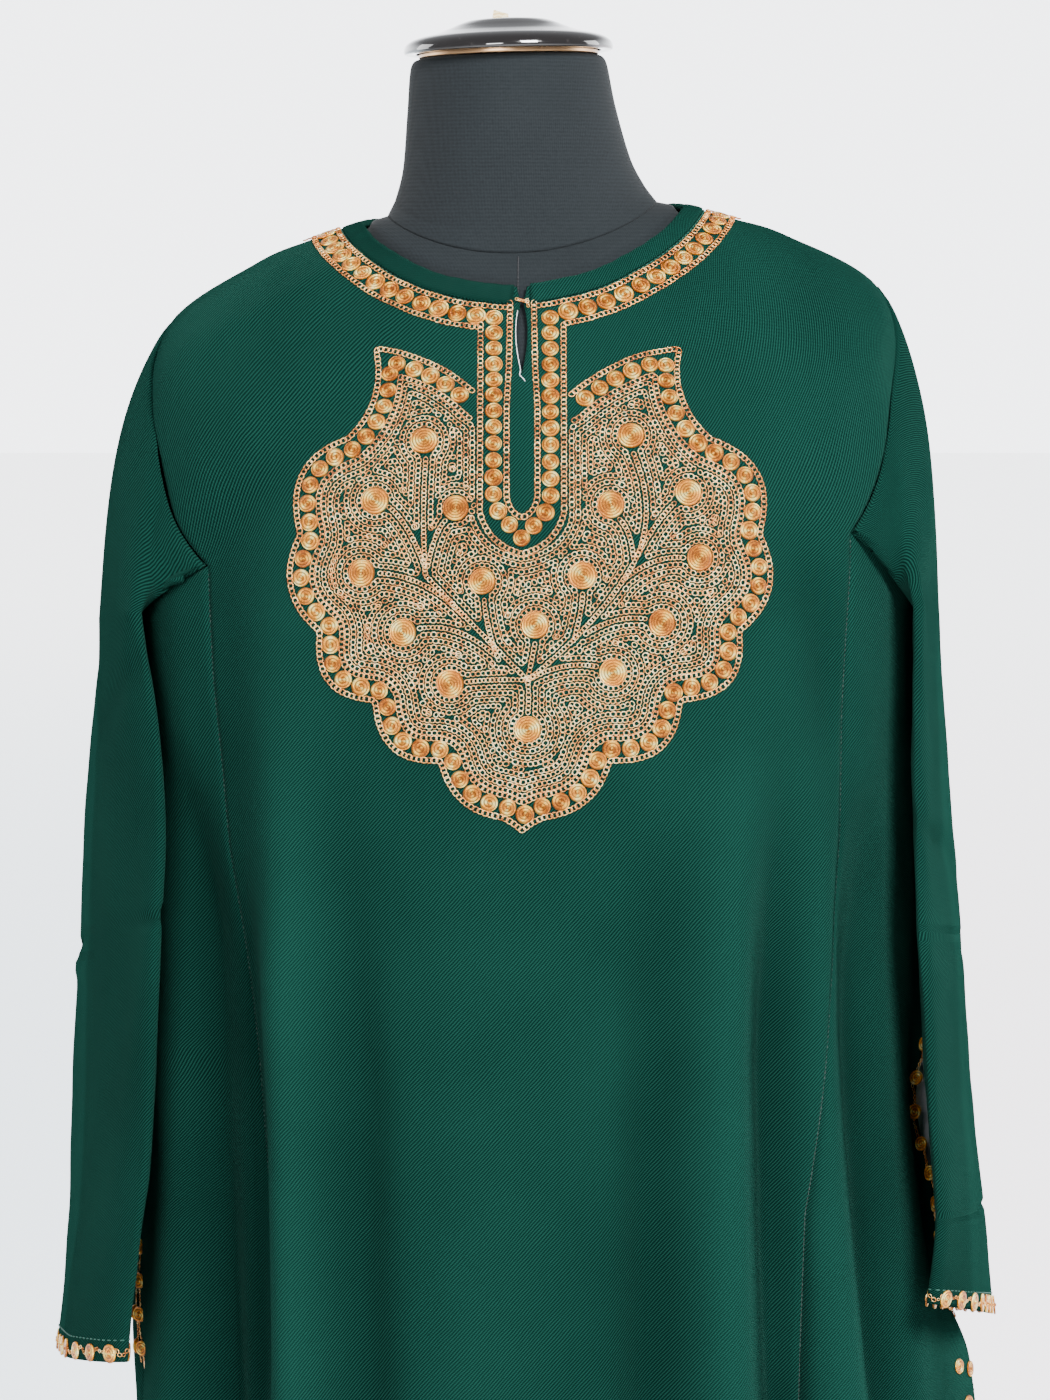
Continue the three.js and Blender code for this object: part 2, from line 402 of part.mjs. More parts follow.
// The light pocket lining that shows in each pocket mouth: a shallow dished strip, sewn behind the gores' edges on
// both sides of the mouth. Its columns run from -1 on the front gore to 1 on the back gore.
function liningPoint(side, v, row) {
  const part = v < 0 ? "front" : "back";
  const [far, near] = GORE_STEPS.slice(-3, -1);
  const seat = CLOTH + SEAM_GAP + 0.05;
  if (Math.abs(v) >= POCKET.liningFold) {
    const u = lerp(near, far, (Math.abs(v) - POCKET.liningFold) / (1 - POCKET.liningFold));
    return gorePoint(side, part, u, row).addScaledVector(goreNormal(side, part, u, row), -seat);
  }
  const inwards = 1 - Math.abs(v) / POCKET.liningFold;
  const lip = gorePoint(side, part, 1, row);
  if (v === 0) lip.lerp(gorePoint(side, "front", 1, row), 0.5);
  const mouth = clamp((POCKET.gapeTop + 20 - lip.z) / (POCKET.gapeTop - POCKET.gapeBottom + 70), 0, 1);
  const depth = seat + POCKET.dish[side] * (1 - (1 - inwards) ** 2) * Math.sin(Math.PI * mouth);
  const p = gorePoint(side, part, near, row).lerp(lip, inwards);
  return p.addScaledVector(goreNormal(side, part, lerp(near, 1, inwards), row), -depth);
}
function pocketLining(side) {
  const height = (row) => smoothColumn(bodySections, "zSide", row);
  const rows = goreRows.filter((row) => height(row) < POCKET.top + 40 && height(row) > POCKET.bottom - 4);
  const half = [POCKET.liningFold / 2, POCKET.liningFold, 1];
  const columns = [...half.map((v) => -v).reverse(), 0, ...half];
  if (side === "left") columns.reverse();
  return wallOf(gridOf(rows, columns, (v, row) => liningPoint(side, v, row)), LINING);
}

// The armhole's edge on the body as a ring: down the front seam, round under the arm and up the back seam. Its
// angles are the sleeve's own, with 0 at the front pressed edge and 90 at the outside.
const TOP = 90;
const FRONT_CORNER = -45;
const BACK_CORNER = -135;
const BACK_TOP = -270;
const sleeveAngles = [
  ...steps(TOP, FRONT_CORNER, SEAM_STEPS),
  ...GORE_STEPS.slice(1).map((u) => lerp(FRONT_CORNER, -TOP, u)),
  ...[...GORE_STEPS].reverse().slice(1).map((u) => lerp(BACK_CORNER, -TOP, u)),
  ...steps(BACK_CORNER, BACK_TOP, SEAM_STEPS).slice(1, -1),
];
function armholePoint(sign, angle) {
  const outward = new THREE.Vector3(sign, 0, 0);
  if (angle >= FRONT_CORNER) {
    const row = lerp(SHOULDER_ROW, UNDERARM_ROW, (TOP - angle) / (TOP - FRONT_CORNER));
    const degrees = straightColumn(bodySections, "frontSeam", row);
    return bodyPoint(sign * degrees, row).addScaledVector(outward, SEAM_GAP * 1.6);
  }
  if (angle > BACK_CORNER) {
    const t = (FRONT_CORNER - angle) / (FRONT_CORNER - BACK_CORNER);
    const [from, to] = ["frontSeam", "backSeam"].map((key) => bodySections[UNDERARM_ROW][key]);
    const degrees = t < 0.5 ? lerp(from, 90, 2 * t) : lerp(90, to, 2 * t - 1);
    const away = new THREE.Vector3(sign * Math.sin(radians(degrees)), -Math.cos(radians(degrees)), 0);
    return bodyPoint(sign * degrees, UNDERARM_ROW).addScaledVector(away, SEAM_GAP * 2).setComponent(2,
      bodyPoint(sign * degrees, UNDERARM_ROW).z + SEAM_GAP);
  }
  const row = lerp(UNDERARM_ROW, SHOULDER_ROW, (BACK_CORNER - angle) / (BACK_CORNER - BACK_TOP));
  const degrees = straightColumn(bodySections, "backSeam", row);
  return bodyPoint(sign * degrees, row).addScaledVector(outward, SEAM_GAP * 1.6);
}

// A point of the flattened hanging sleeve: two layers between a front and a back pressed edge.
function hangingPoint(side, angle, row) {
  const table = sleeveSections[side];
  const sign = side === "left" ? -1 : 1;
  const at = (key) => smoothColumn(table, key, row);
  const front = new THREE.Vector3(at("xFront"), at("yFront"), at("zFront"));
  const back = new THREE.Vector3(at("xBack"), at("yBack"), at("zBack"));
  const along = (1 - Math.cos(radians(angle))) / 2;
  const lift = Math.sin(radians(angle));
  const edge = Math.sign(lift) * SLEEVE.edgeHalfThickness * Math.sqrt(Math.abs(lift));
  const layer = lift > 0
    ? at("bulge") * Math.sin(Math.PI * along ** SLEEVE.peakSkew)
    : -SLEEVE.innerBulge * Math.sin(Math.PI * along);
  const chord = back.clone().sub(front);
  const outward = new THREE.Vector3(Math.abs(chord.y), -sign * chord.x, 0).normalize().multiplyScalar(sign);
  outward.y = -Math.abs(outward.y);
  return front.lerp(back, along).addScaledVector(outward, edge + layer);
}

// The sleeve's top fans out from the armhole to the first hanging ring, and swells over the shoulder's end.
function sleevePoint(side, angle, t) {
  if (t >= 1) return hangingPoint(side, angle, t - 1);
  const sign = side === "left" ? -1 : 1;
  const p = armholePoint(sign, angle).lerp(hangingPoint(side, angle, 0), t);
  const topness = Math.max(0, Math.sin(radians(angle))) ** 1.5;
  const underness = Math.sqrt(Math.max(0, -Math.sin(radians(angle))));
  p.x += sign * SLEEVE.shoulderBulge * topness * Math.sin(Math.PI * t ** 0.6);
  const away = new THREE.Vector3(p.x, 2 * p.y, 0).normalize();
  return p.addScaledVector(away, SLEEVE.underarmEase * underness * Math.sin(Math.PI * t ** 0.5));
}
function sleeve(side) {
  const hangingRows = sleeveSections[side].length - 1;
  const rows = [...steps(0, 1, SLEEVE.capRings), ...steps(1, 1 + hangingRows, SLEEVE.ringsPerRow * hangingRows).slice(1)];
  const columns = side === "right" ? [...sleeveAngles].reverse() : sleeveAngles;
  return wallOf(gridOf(rows, columns, (angle, t) => sleevePoint(side, angle, t), null, true), CLOTH);
}

// The neckline's binding, which lies on both panels' edges and parts at the keyhole.
const bindingRows = [0, 0.5, 0.97];
const bindingGrid = joinedGrids(
  frontHalf(1)(bindingRows),
  backPart(bindingRows),
  frontHalf(-1)(bindingRows),
);
// The shoulder seams' two edges are 0.3 mm apart, and the binding runs on across them.
function bridged(grid, row) {
  const ends = [bodyPoint(90, row), bodyPoint(-90, row)];
  grid.points.forEach((p) => ends.forEach((end) => {
    if (p.distanceTo(end) < SEAM_GAP) p.copy(end);
  }));
  return grid;
}
bindingRows.forEach((row) => bridged(bindingGrid, row));
const binding = wallOf(bindingGrid, BINDING, SEAM_GAP + BINDING);

// Manifold solids, for the embroidered pieces that are cut to their outline.
function solidOf(geometry) {
  const bare = geometry.index ? geometry.toNonIndexed() : geometry.clone();
  bare.deleteAttribute("normal");
  bare.deleteAttribute("uv");
  const merged = mergeVertices(bare, 1e-4);
  return new wasm.Manifold(new wasm.Mesh({
    numProp: 3,
    vertProperties: merged.attributes.position.array,
    triVerts: new Uint32Array(merged.index.array),
  }));
}
function geometryOfSolid(solid) {
  const mesh = solid.getMesh();
  const geometry = new THREE.BufferGeometry();
  const positions = new Float32Array(mesh.numVert * 3);
  for (let i = 0; i < mesh.numVert; i += 1) {
    positions.set(mesh.vertProperties.subarray(i * mesh.numProp, i * mesh.numProp + 3), i * 3);
  }
  geometry.setAttribute("position", new THREE.BufferAttribute(positions, 3));
  geometry.setIndex(new THREE.BufferAttribute(mesh.triVerts, 1));
  return geometry;
}

// A prism through the chest from an outline in the front view.
const PRISM_DEPTH = 260;
function prismOf(shape) {
  const geometry = new THREE.ExtrudeGeometry(shape, { depth: PRISM_DEPTH, bevelEnabled: false, curveSegments: 5 });
  geometry.rotateX(Math.PI / 2);
  return solidOf(geometry);
}

function placketShape(halfWidth, foot, shoulder, top) {
  const shape = new THREE.Shape();
  shape.moveTo(-halfWidth, top);
  shape.lineTo(-halfWidth, shoulder);
  shape.quadraticCurveTo(-halfWidth * 0.8, lerp(shoulder, foot, 0.8), 0, foot);
  shape.quadraticCurveTo(halfWidth * 0.8, lerp(shoulder, foot, 0.8), halfWidth, shoulder);
  shape.lineTo(halfWidth, top);
  shape.closePath();
  return shape;
}

function leafShape() {
  const shape = new THREE.Shape();
  const corners = [{ x: 0, up: 0 }, ...leafCusps];
  const edge = [];
  for (let i = 1; i < corners.length; i += 1) {
    const [p, q] = [corners[i - 1], corners[i]];
    const length = Math.hypot(q.x - p.x, q.up - p.up);
    const control = {
      x: (p.x + q.x) / 2 + (2 * q.swell * (q.up - p.up)) / length,
      up: (p.up + q.up) / 2 - (2 * q.swell * (q.x - p.x)) / length,
    };
    edge.push({ control, end: q });
  }
  const inner = { x: PLACKET.halfWidth - 2, up: LEAF.innerTop - LEAF.tip };
  edge.push({ control: { x: 50, up: 258 }, end: inner });
  shape.moveTo(0, LEAF.tip);
  const curveTo = (share, control, end) => shape.quadraticCurveTo(
    share * control.x, LEAF.tip + control.up, share * end.x, LEAF.tip + end.up);
  edge.forEach(({ control, end }) => curveTo(LEAF.rightShare, control, end));
  shape.lineTo(-LEAF.leftShare * inner.x, LEAF.tip + inner.up);
  for (let i = edge.length - 1; i >= 0; i -= 1) {
    curveTo(-LEAF.leftShare, edge[i].control, i > 0 ? edge[i - 1].end : corners[0]);
  }
  return shape;
}

// The embroidery lies on the front panel, so it is made from the panel's own points, moved out.
const LEAF_LAST_ROW = 8.3;
const inLeaf = (u) => Math.abs(u) < 0.95;
const chestRows = panelRows.filter((row) => row >= 1 && row <= LEAF_LAST_ROW + 0.01);
const bandRows = [1, 1.5, 2];
const onPanel = (rows, keep) => solidOf(wallOf(
  joinedGrids(frontHalf(-1)(rows, keep), frontHalf(1)(rows, keep)), EMBROIDERY, SEAM_GAP + EMBROIDERY));
const chestSlab = onPanel(chestRows, inLeaf);
const neckSlab = onPanel(bandRows, (u) => Math.abs(u) < 0.97);
const placketPrism = (grow) => prismOf(placketShape(PLACKET.halfWidth + grow, PLACKET.foot - grow, PLACKET.shoulder, PLACKET.top));
const tonguePrism = prismOf(placketShape(PLACKET.tongueHalfWidth, PLACKET.tongueFoot, PLACKET.tongueFoot + 9, PLACKET.top + 20));
const keyholePrism = prismOf(placketShape(KEYHOLE.halfWidth + 0.6, KEYHOLE.bottom - 1, KEYHOLE.bottom + 4, PLACKET.top + 20));
const tongueTop = KEYHOLE.bottom - 3;
const tongueBelowKeyhole = tonguePrism.intersect(prismOf(placketShape(20, PLACKET.tongueFoot - 10, PLACKET.tongueFoot - 6, tongueTop)));
const chestLeaf = chestSlab.intersect(prismOf(leafShape())).subtract(placketPrism(SEAM_GAP));
const placketBand = chestSlab.intersect(placketPrism(0)).subtract(tongueBelowKeyhole).subtract(keyholePrism);
const halfSpace = (sign) => prismOf(new THREE.Shape([
  new THREE.Vector2(sign * (PLACKET.halfWidth + SEAM_GAP), 1200),
  new THREE.Vector2(sign * 200, 1200),
  new THREE.Vector2(sign * 200, 1450),
  new THREE.Vector2(sign * (PLACKET.halfWidth + SEAM_GAP), 1450),
]));

// The dress form
const FORM_AROUND = 28;
const formTable = [neckBase, ...bodySections.slice(0, SHOULDER_ROW + 1), ...formSections];
const formRows = [0, 0.5, 1, 2, 3, 3.5, 4, 4.5, 5, 5.5, 6, 7, 7.5, 8, 8.5, 9, 9.5, 10, 10.5, 11, 12, 13, 14];
const formAngles = steps(0, 360, FORM_AROUND).slice(0, -1);
const clearanceAt = (row) => (row >= 1 && row <= SHOULDER_ROW + 1.01 ? FORM_CLEARANCE : 0);
const formRing = (row) => formAngles.map((degrees) => ringPoint(formTable, degrees, row, clearanceAt(row)));
const torso = loftOf(formRows.map(formRing).reverse());

function neckRing(section) {
  return formAngles.map((degrees) => {
    const s = Math.sin(radians(degrees));
    const c = Math.cos(radians(degrees));
    const depth = c > 0 ? section.front : section.back;
    const z = lerp(section.zSide, c > 0 ? section.zFront : section.zBack, Math.abs(c));
    const x = section.xMiddle + section.halfWidth * s;
    return new THREE.Vector3(x, -depth * c, z + section.lean * x);
  });
}
const neckFoot = formRing(0).map((p) => p.setZ(p.z + SEAM_GAP));
const neck = loftOf([neckFoot, ...neckSections.map(neckRing)]);

const AROUND = 40;
function turned(profile, segments = AROUND) {
  const geometry = new THREE.LatheGeometry(profile.map(([r, z]) => new THREE.Vector2(r, z)), segments);
  return geometry.rotateX(Math.PI / 2);
}
const domeBottom = CAP.plateThickness + SEAM_GAP;
const plateGeometry = turned([[0, 0], [CAP.plateRadius, 0], [CAP.plateRadius, CAP.plateThickness], [0, CAP.plateThickness]]);
const domeGeometry = turned([
  [0, domeBottom],
  [CAP.domeRadius - 2, domeBottom],
  [CAP.domeRadius, domeBottom + 1.2],
  ...[0.93, 0.82, 0.68, 0.52, 0.36, 0.2].map((share) => [
    CAP.domeRadius * share,
    domeBottom + CAP.domeHeight * Math.min(1, 1.22 * (1 - share ** 2.2)),
  ]),
  [0, domeBottom + CAP.domeHeight],
]);
const baseGeometry = turned([
  [0, 0],
  [BASE.radius, 0],
  [BASE.radius, BASE.thickness - BASE.edge],
  [BASE.radius - BASE.edge, BASE.thickness],
  [0, BASE.thickness],
]);
const collarBottom = TORSO_BOTTOM - SEAM_GAP - POLE.collarHeight;
const collarGeometry = turned([
  [0, collarBottom],
  [POLE.radius + 8, collarBottom],
  [POLE.collarRadius, collarBottom + POLE.collarHeight - 6],
  [POLE.collarRadius, collarBottom + POLE.collarHeight],
  [0, collarBottom + POLE.collarHeight],
], 32);
const poleLength = collarBottom - BASE.thickness - 2 * SEAM_GAP;
const poleGeometry = new THREE.CylinderGeometry(POLE.radius, POLE.radius, poleLength, 24).rotateX(Math.PI / 2);
const pegShape = new THREE.Shape([
  new THREE.Vector2(-4.5, 0),
  new THREE.Vector2(4.5, 0),
  new THREE.Vector2(4.5, 2.2),
  new THREE.Vector2(-3.5, 4.6),
]);
const pegGeometry = new THREE.ExtrudeGeometry(pegShape, { depth: 7, bevelEnabled: false }).rotateX(Math.PI / 2);

const pheran = new THREE.Group();
pheran.name = "pheran_on_dress_form";
function piece(name, geometry, material, parent = pheran) {
  const mesh = new THREE.Mesh(geometry, material);
  mesh.name = name;
  parent.add(mesh);
  return mesh;
}

piece("front_panel", frontPanel, green);
piece("back_panel", backPanel, green);
for (const side of ["left", "right"]) {
  for (const part of ["front", "back"]) piece(side + "_" + part + "_gore", gore(side, part), green);
  piece(side + "_sleeve", sleeve(side), green);
  piece(side + "_pocket_lining", pocketLining(side), liningGrey);
}
piece("neck_binding", binding, green);
piece("chest_leaf", geometryOfSolid(chestLeaf), gold);
piece("placket_band", geometryOfSolid(placketBand), gold);
piece("left_neck_band", geometryOfSolid(neckSlab.intersect(halfSpace(-1))), gold);
piece("right_neck_band", geometryOfSolid(neckSlab.intersect(halfSpace(1))), gold);
piece("form_torso", torso, formBlack);
piece("form_neck", neck, formBlack);

const cap = new THREE.Group();
cap.position.set(CAP.x, CAP.y, CAP.plateBottom);
cap.rotation.y = CAP.tilt;
pheran.add(cap);
piece("cap_plate", plateGeometry, bronze, cap);
piece("cap_dome", domeGeometry, gloss, cap);
const peg = piece("cap_peg", pegGeometry, paleWood, cap);
peg.position.set(-4, 3.5, domeBottom + CAP.domeHeight + SEAM_GAP);

piece("form_collar", collarGeometry, iron);
const pole = piece("pole", poleGeometry, steel);
pole.position.z = BASE.thickness + SEAM_GAP + poleLength / 2;
piece("base_plate", baseGeometry, iron);

export default pheran;
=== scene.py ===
# %% [markdown]
# # A pheran on its dress form
# A pheran is the long loose wool tunic of the Kashmir valley. This one is dark green twill, worked at the
# neck and on the chest with couched metal thread, and it hangs on a limbless dress form. The frame of plain
# solids is loaded first, and every piece below is made in that same frame, in millimetres worked out from a
# few tables.

# %% Load the frame
import json
import math
import bpy
import numpy as np
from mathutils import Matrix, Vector

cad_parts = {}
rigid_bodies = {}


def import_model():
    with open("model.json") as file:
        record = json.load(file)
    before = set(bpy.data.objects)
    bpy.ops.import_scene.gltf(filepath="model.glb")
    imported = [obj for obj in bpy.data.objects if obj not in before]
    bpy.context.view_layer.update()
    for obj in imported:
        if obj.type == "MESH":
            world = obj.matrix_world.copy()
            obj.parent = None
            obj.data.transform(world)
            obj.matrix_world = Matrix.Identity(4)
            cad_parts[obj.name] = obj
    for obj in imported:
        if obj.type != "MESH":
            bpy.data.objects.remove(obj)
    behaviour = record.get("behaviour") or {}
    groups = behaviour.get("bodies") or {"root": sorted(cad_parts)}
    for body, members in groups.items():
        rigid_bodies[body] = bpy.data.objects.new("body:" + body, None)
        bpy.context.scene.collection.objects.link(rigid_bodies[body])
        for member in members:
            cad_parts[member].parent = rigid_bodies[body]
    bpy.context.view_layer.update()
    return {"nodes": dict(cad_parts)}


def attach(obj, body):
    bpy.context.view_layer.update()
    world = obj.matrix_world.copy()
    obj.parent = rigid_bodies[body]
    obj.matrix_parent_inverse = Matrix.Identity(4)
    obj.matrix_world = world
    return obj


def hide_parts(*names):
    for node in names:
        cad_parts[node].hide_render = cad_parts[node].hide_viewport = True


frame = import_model()
scene = bpy.context.scene
MM = 0.001
print("solids:", len(frame["nodes"]))

# %% [markdown]
# ## Camera
# The photograph is a close view of the chest and sleeves, taken from a little above them. A long lens at
# about two metres keeps the garment's sides nearly parallel, as they are there.

# %% Camera
TILT = math.radians(6.0)
CAMERA_AT = (0.0016, -2.22003, 1.36072)
FRAME_HEIGHT_PX, FOCAL_PX, SENSOR = 1400, 3947, 36
FOCAL = FOCAL_PX / FRAME_HEIGHT_PX * SENSOR
lens = bpy.data.cameras.new("view")
lens.lens = FOCAL
camera = bpy.data.objects.new("view", lens)
camera.location = CAMERA_AT
camera.rotation_euler = (math.pi / 2 - TILT, 0, 0)
scene.collection.objects.link(camera)
scene.camera = camera
print("lens in mm:", round(FOCAL, 1))

# %% [markdown]
# ## Shader maths
# A material here is a small sum: twill ribs plus noise, mixed into a colour. Writing such sums as node
# after node is hard to read, so one small class wraps a node's output and lets Python's own operators add
# the Math nodes.

# %% A shader built from expressions
class Wire:
    """The output of a node, which takes part in sums."""

    def __init__(self, shade, socket):
        self.shade = shade
        self.socket = socket

    def maths(self, operation, other=0.0, swap=False):
        pair = [other, self] if swap else [self, other]
        return self.shade.node("ShaderNodeMath", {"operation": operation}, {0: pair[0], 1: pair[1]})

    def __add__(self, other):
        return self.maths("ADD", other)

    def __radd__(self, other):
        return self.maths("ADD", other)

    def __sub__(self, other):
        return self.maths("SUBTRACT", other)

    def __rsub__(self, other):
        return self.maths("SUBTRACT", other, swap=True)

    def __mul__(self, other):
        return self.maths("MULTIPLY", other)

    def __rmul__(self, other):
        return self.maths("MULTIPLY", other)

    def sine(self):
        return self.maths("SINE")

    def soft(self, low, high):
        """0 at low and 1 at high, with a soft start and end."""
        ends = {0: self, 1: min(low, high), 2: max(low, high), 3: float(low > high), 4: float(low < high)}
        return self.shade.node("ShaderNodeMapRange", {"interpolation_type": "SMOOTHSTEP"}, ends)


class Tree:
    """A node tree that is written as expressions."""

    def __init__(self, tree):
        self.tree = tree

    def put(self, node, values):
        for key, value in values.items():
            if isinstance(value, Wire):
                self.tree.links.new(value.socket, node.inputs[key])
            else:
                node.inputs[key].default_value = value

    def node(self, kind, settings=None, values=None, out=0):
        made = self.tree.nodes.new(kind)
        for key, value in (settings or {}).items():
            setattr(made, key, value)
        self.put(made, values or {})
        return Wire(self, made.outputs[out])


class Shade(Tree):
    """A material on one Principled surface."""

    def __init__(self, name, roughness=0.6, metallic=0.0, **fixed):
        self.material = bpy.data.materials.new(name)
        self.material.use_nodes = True
        super().__init__(self.material.node_tree)
        self.surface = self.tree.nodes["Principled BSDF"]
        self.put(self.surface, {"Roughness": roughness, "Metallic": metallic})
        self.put(self.surface, {key.replace("_", " "): value for key, value in fixed.items()})

    def mix(self, share, one, two):
        one, two = [(*c, 1) if isinstance(c, tuple) else c for c in (one, two)]
        return self.node("ShaderNodeMix", {"data_type": "RGBA"}, {0: share, 6: one, 7: two}, out=2)

    def ramp(self, share, stops):
        made = self.tree.nodes.new("ShaderNodeValToRGB")
        colours = made.color_ramp.elements
        while len(colours) < len(stops):
            colours.new(0.5)
        for stop, (at, colour) in zip(colours, stops):
            stop.position, stop.color = at, (*colour, 1)
        self.put(made, {0: share})
        return Wire(self, made.outputs[0])

    def place(self):
        return self.node("ShaderNodeTexCoord", out="Object")

    def parts(self, vector):
        return [self.node("ShaderNodeSeparateXYZ", {}, {0: vector}, out=i) for i in range(3)]

    def noise(self, vector, scale, detail=2.0):
        return self.node("ShaderNodeTexNoise", {}, {"Vector": vector, "Scale": scale, "Detail": detail})

    def finish(self, colour, height=None, depth=0.0003, strength=1.0, **more):
        self.put(self.surface, {"Base Color": colour if isinstance(colour, Wire) else (*colour, 1)})
        self.put(self.surface, {key.replace("_", " "): value for key, value in more.items()})
        if height is not None:
            bump = {"Height": height, "Distance": depth, "Strength": strength}
            self.put(self.surface, {"Normal": self.node("ShaderNodeBump", {}, bump)})
        return self.material


print("shader class ready")

# %% [markdown]
# ## The green twill
# A twill shows fine slanted ribs. The ribs follow each panel's own weave, so they are drawn on the panel's
# UV map, which is in metres along and across the cloth. One rib to every millimetre and a half, broken up
# along its length as spun yarn is, gives both a bump and a faint change of colour. The colour also follows
# a value that each point of the cloth carries, and that is painted light and shade: on the body it is how far
# its fold stands out, so ridges are painted lighter and hollows darker, and on the sleeves it is their own
# painted light and shade.

# %% Green wool twill
RIB = 0.00145
RIB_SLANT = math.radians(48)


def wool(name, dark, light, rib=RIB):
    s = Shade(name, roughness=0.78, Sheen_Weight=0.03, Sheen_Roughness=0.4)
    s.put(s.surface, {"Sheen Tint": (0.3, 0.9, 0.7, 1), "Specular IOR Level": 0.0})
    cloth = s.node("ShaderNodeUVMap", {"uv_map": "cloth"})
    u, v, _ = s.parts(cloth)
    sag = s.noise(cloth, 60.0, 1.0) * 0.0012
    across = v * math.cos(RIB_SLANT) - u * math.sin(RIB_SLANT) + sag
    along = u * math.cos(RIB_SLANT) + v * math.sin(RIB_SLANT)
    ribs = (across * (2 * math.pi / rib)).sine() * 0.5 + 0.5
    grains = (along * (2 * math.pi / (rib * 0.8)) + across * (math.pi / rib)).sine() * 0.5 + 0.5
    fuzz = s.noise(cloth, 1400.0, 3.0)
    patches = s.noise(cloth, 9.0, 2.0)
    # Painted light and shade: the fold value makes ridges lighter and hollows darker in the colour.
    fold = s.node("ShaderNodeAttribute", {"attribute_name": "fold"}, out=2)
    height = ribs * 0.7 + grains * 0.2 + fuzz * 0.25
    tone = ribs * 0.85 + grains * 0.15 + fuzz * 0.35 + patches * 0.4 + fold * 0.25 - 0.4
    return s.finish(s.mix(tone, dark, light), height, depth=0.0007, strength=0.8)


GREEN_WOOL = wool("green_wool_twill", (0.0009, 0.0078, 0.0058), (0.0062, 0.0440, 0.0325))
print("rib spacing in mm:", RIB * 1000)

# %% [markdown]
# ## The garment's sections
# A dressmaker would measure the hanging cloth level by level. Each row below is such a level ring: its half
# widths, depths and heights, how square its outline is, and where the two seams cross it, in degrees round
# from the front.

# %% Body sections
SECTION = (
    "left", "right", "front", "back", "z_front", "z_side", "z_back", "square", "front_seam", "back_seam",
)
BODY_ROWS = [
    (90, 91, 72, 58, 1360, 1399.5, 1404, 2.0, 90, 90),
    (100.5, 101, 77.5, 65, 1350.5, 1397, 1401, 2.0, 90, 90),
    (119, 119, 88, 76, 1334, 1391.5, 1394, 2.1, 90, 90),
    (148, 148, 99, 86, 1314, 1381, 1380, 2.25, 90, 90),
    (197, 199, 114, 100, 1288, 1350, 1338, 2.6, 90, 90),
    (209, 211, 125, 107, 1262, 1298, 1290, 2.7, 65, 115),
    (214, 219, 135, 112, 1232, 1200, 1226, 2.55, 48.5, 131.5),
    (213, 219, 143, 117, 1160, 1158, 1160, 2.5, 48.5, 131.5),
    (210, 220, 143, 120, 1060, 1060, 1060, 2.4, 47.8, 132),
    (212, 221, 145, 124, 960, 960, 960, 2.35, 44, 135),
    (216, 229, 148, 130, 860, 860, 860, 2.3, 39.8, 139),
    (219, 241, 152, 136, 760, 760, 760, 2.25, 38, 141),
    (228, 256, 158, 144, 640, 640, 640, 2.2, 36, 143),
    (240, 266, 166, 154, 490, 490, 490, 2.1, 34, 145),
    (252, 276, 174, 164, 340, 340, 340, 2.05, 33, 146),
]
BODY = {key: np.array([row[i] for row in BODY_ROWS], float) for i, key in enumerate(SECTION)}
SHOULDER_ROW, UNDERARM_ROW, HEM_ROW = 4, 6, len(BODY_ROWS) - 1
CLOTH = 1.6
SEAM_GAP = 0.3


def smooth_column(values, row):
    row = np.asarray(row, float)
    i = np.clip(np.floor(row).astype(int), 0, len(values) - 2)
    t = row - i
    a, b, c, d = (values[np.clip(i + k, 0, len(values) - 1)] for k in (-1, 0, 1, 2))
    return b + 0.5 * t * (c - a + t * (2 * a - 5 * b + 4 * c - d + t * (3 * (b - c) + d - a)))


def straight_column(values, row):
    return np.interp(row, np.arange(len(values)), values)


def smoothstep(value, low, high):
    t = np.clip((value - low) / (high - low), 0, 1)
    return t * t * (3 - 2 * t)


print("sections:", len(BODY_ROWS))

# %% [markdown]
# ## Folds
# The cloth drops from the bust and the shoulders in a few long soft folds. Each row is one fold: the height
# and angle where it starts, passes its middle and ends, how far it stands out or dips, and its width in
# degrees.

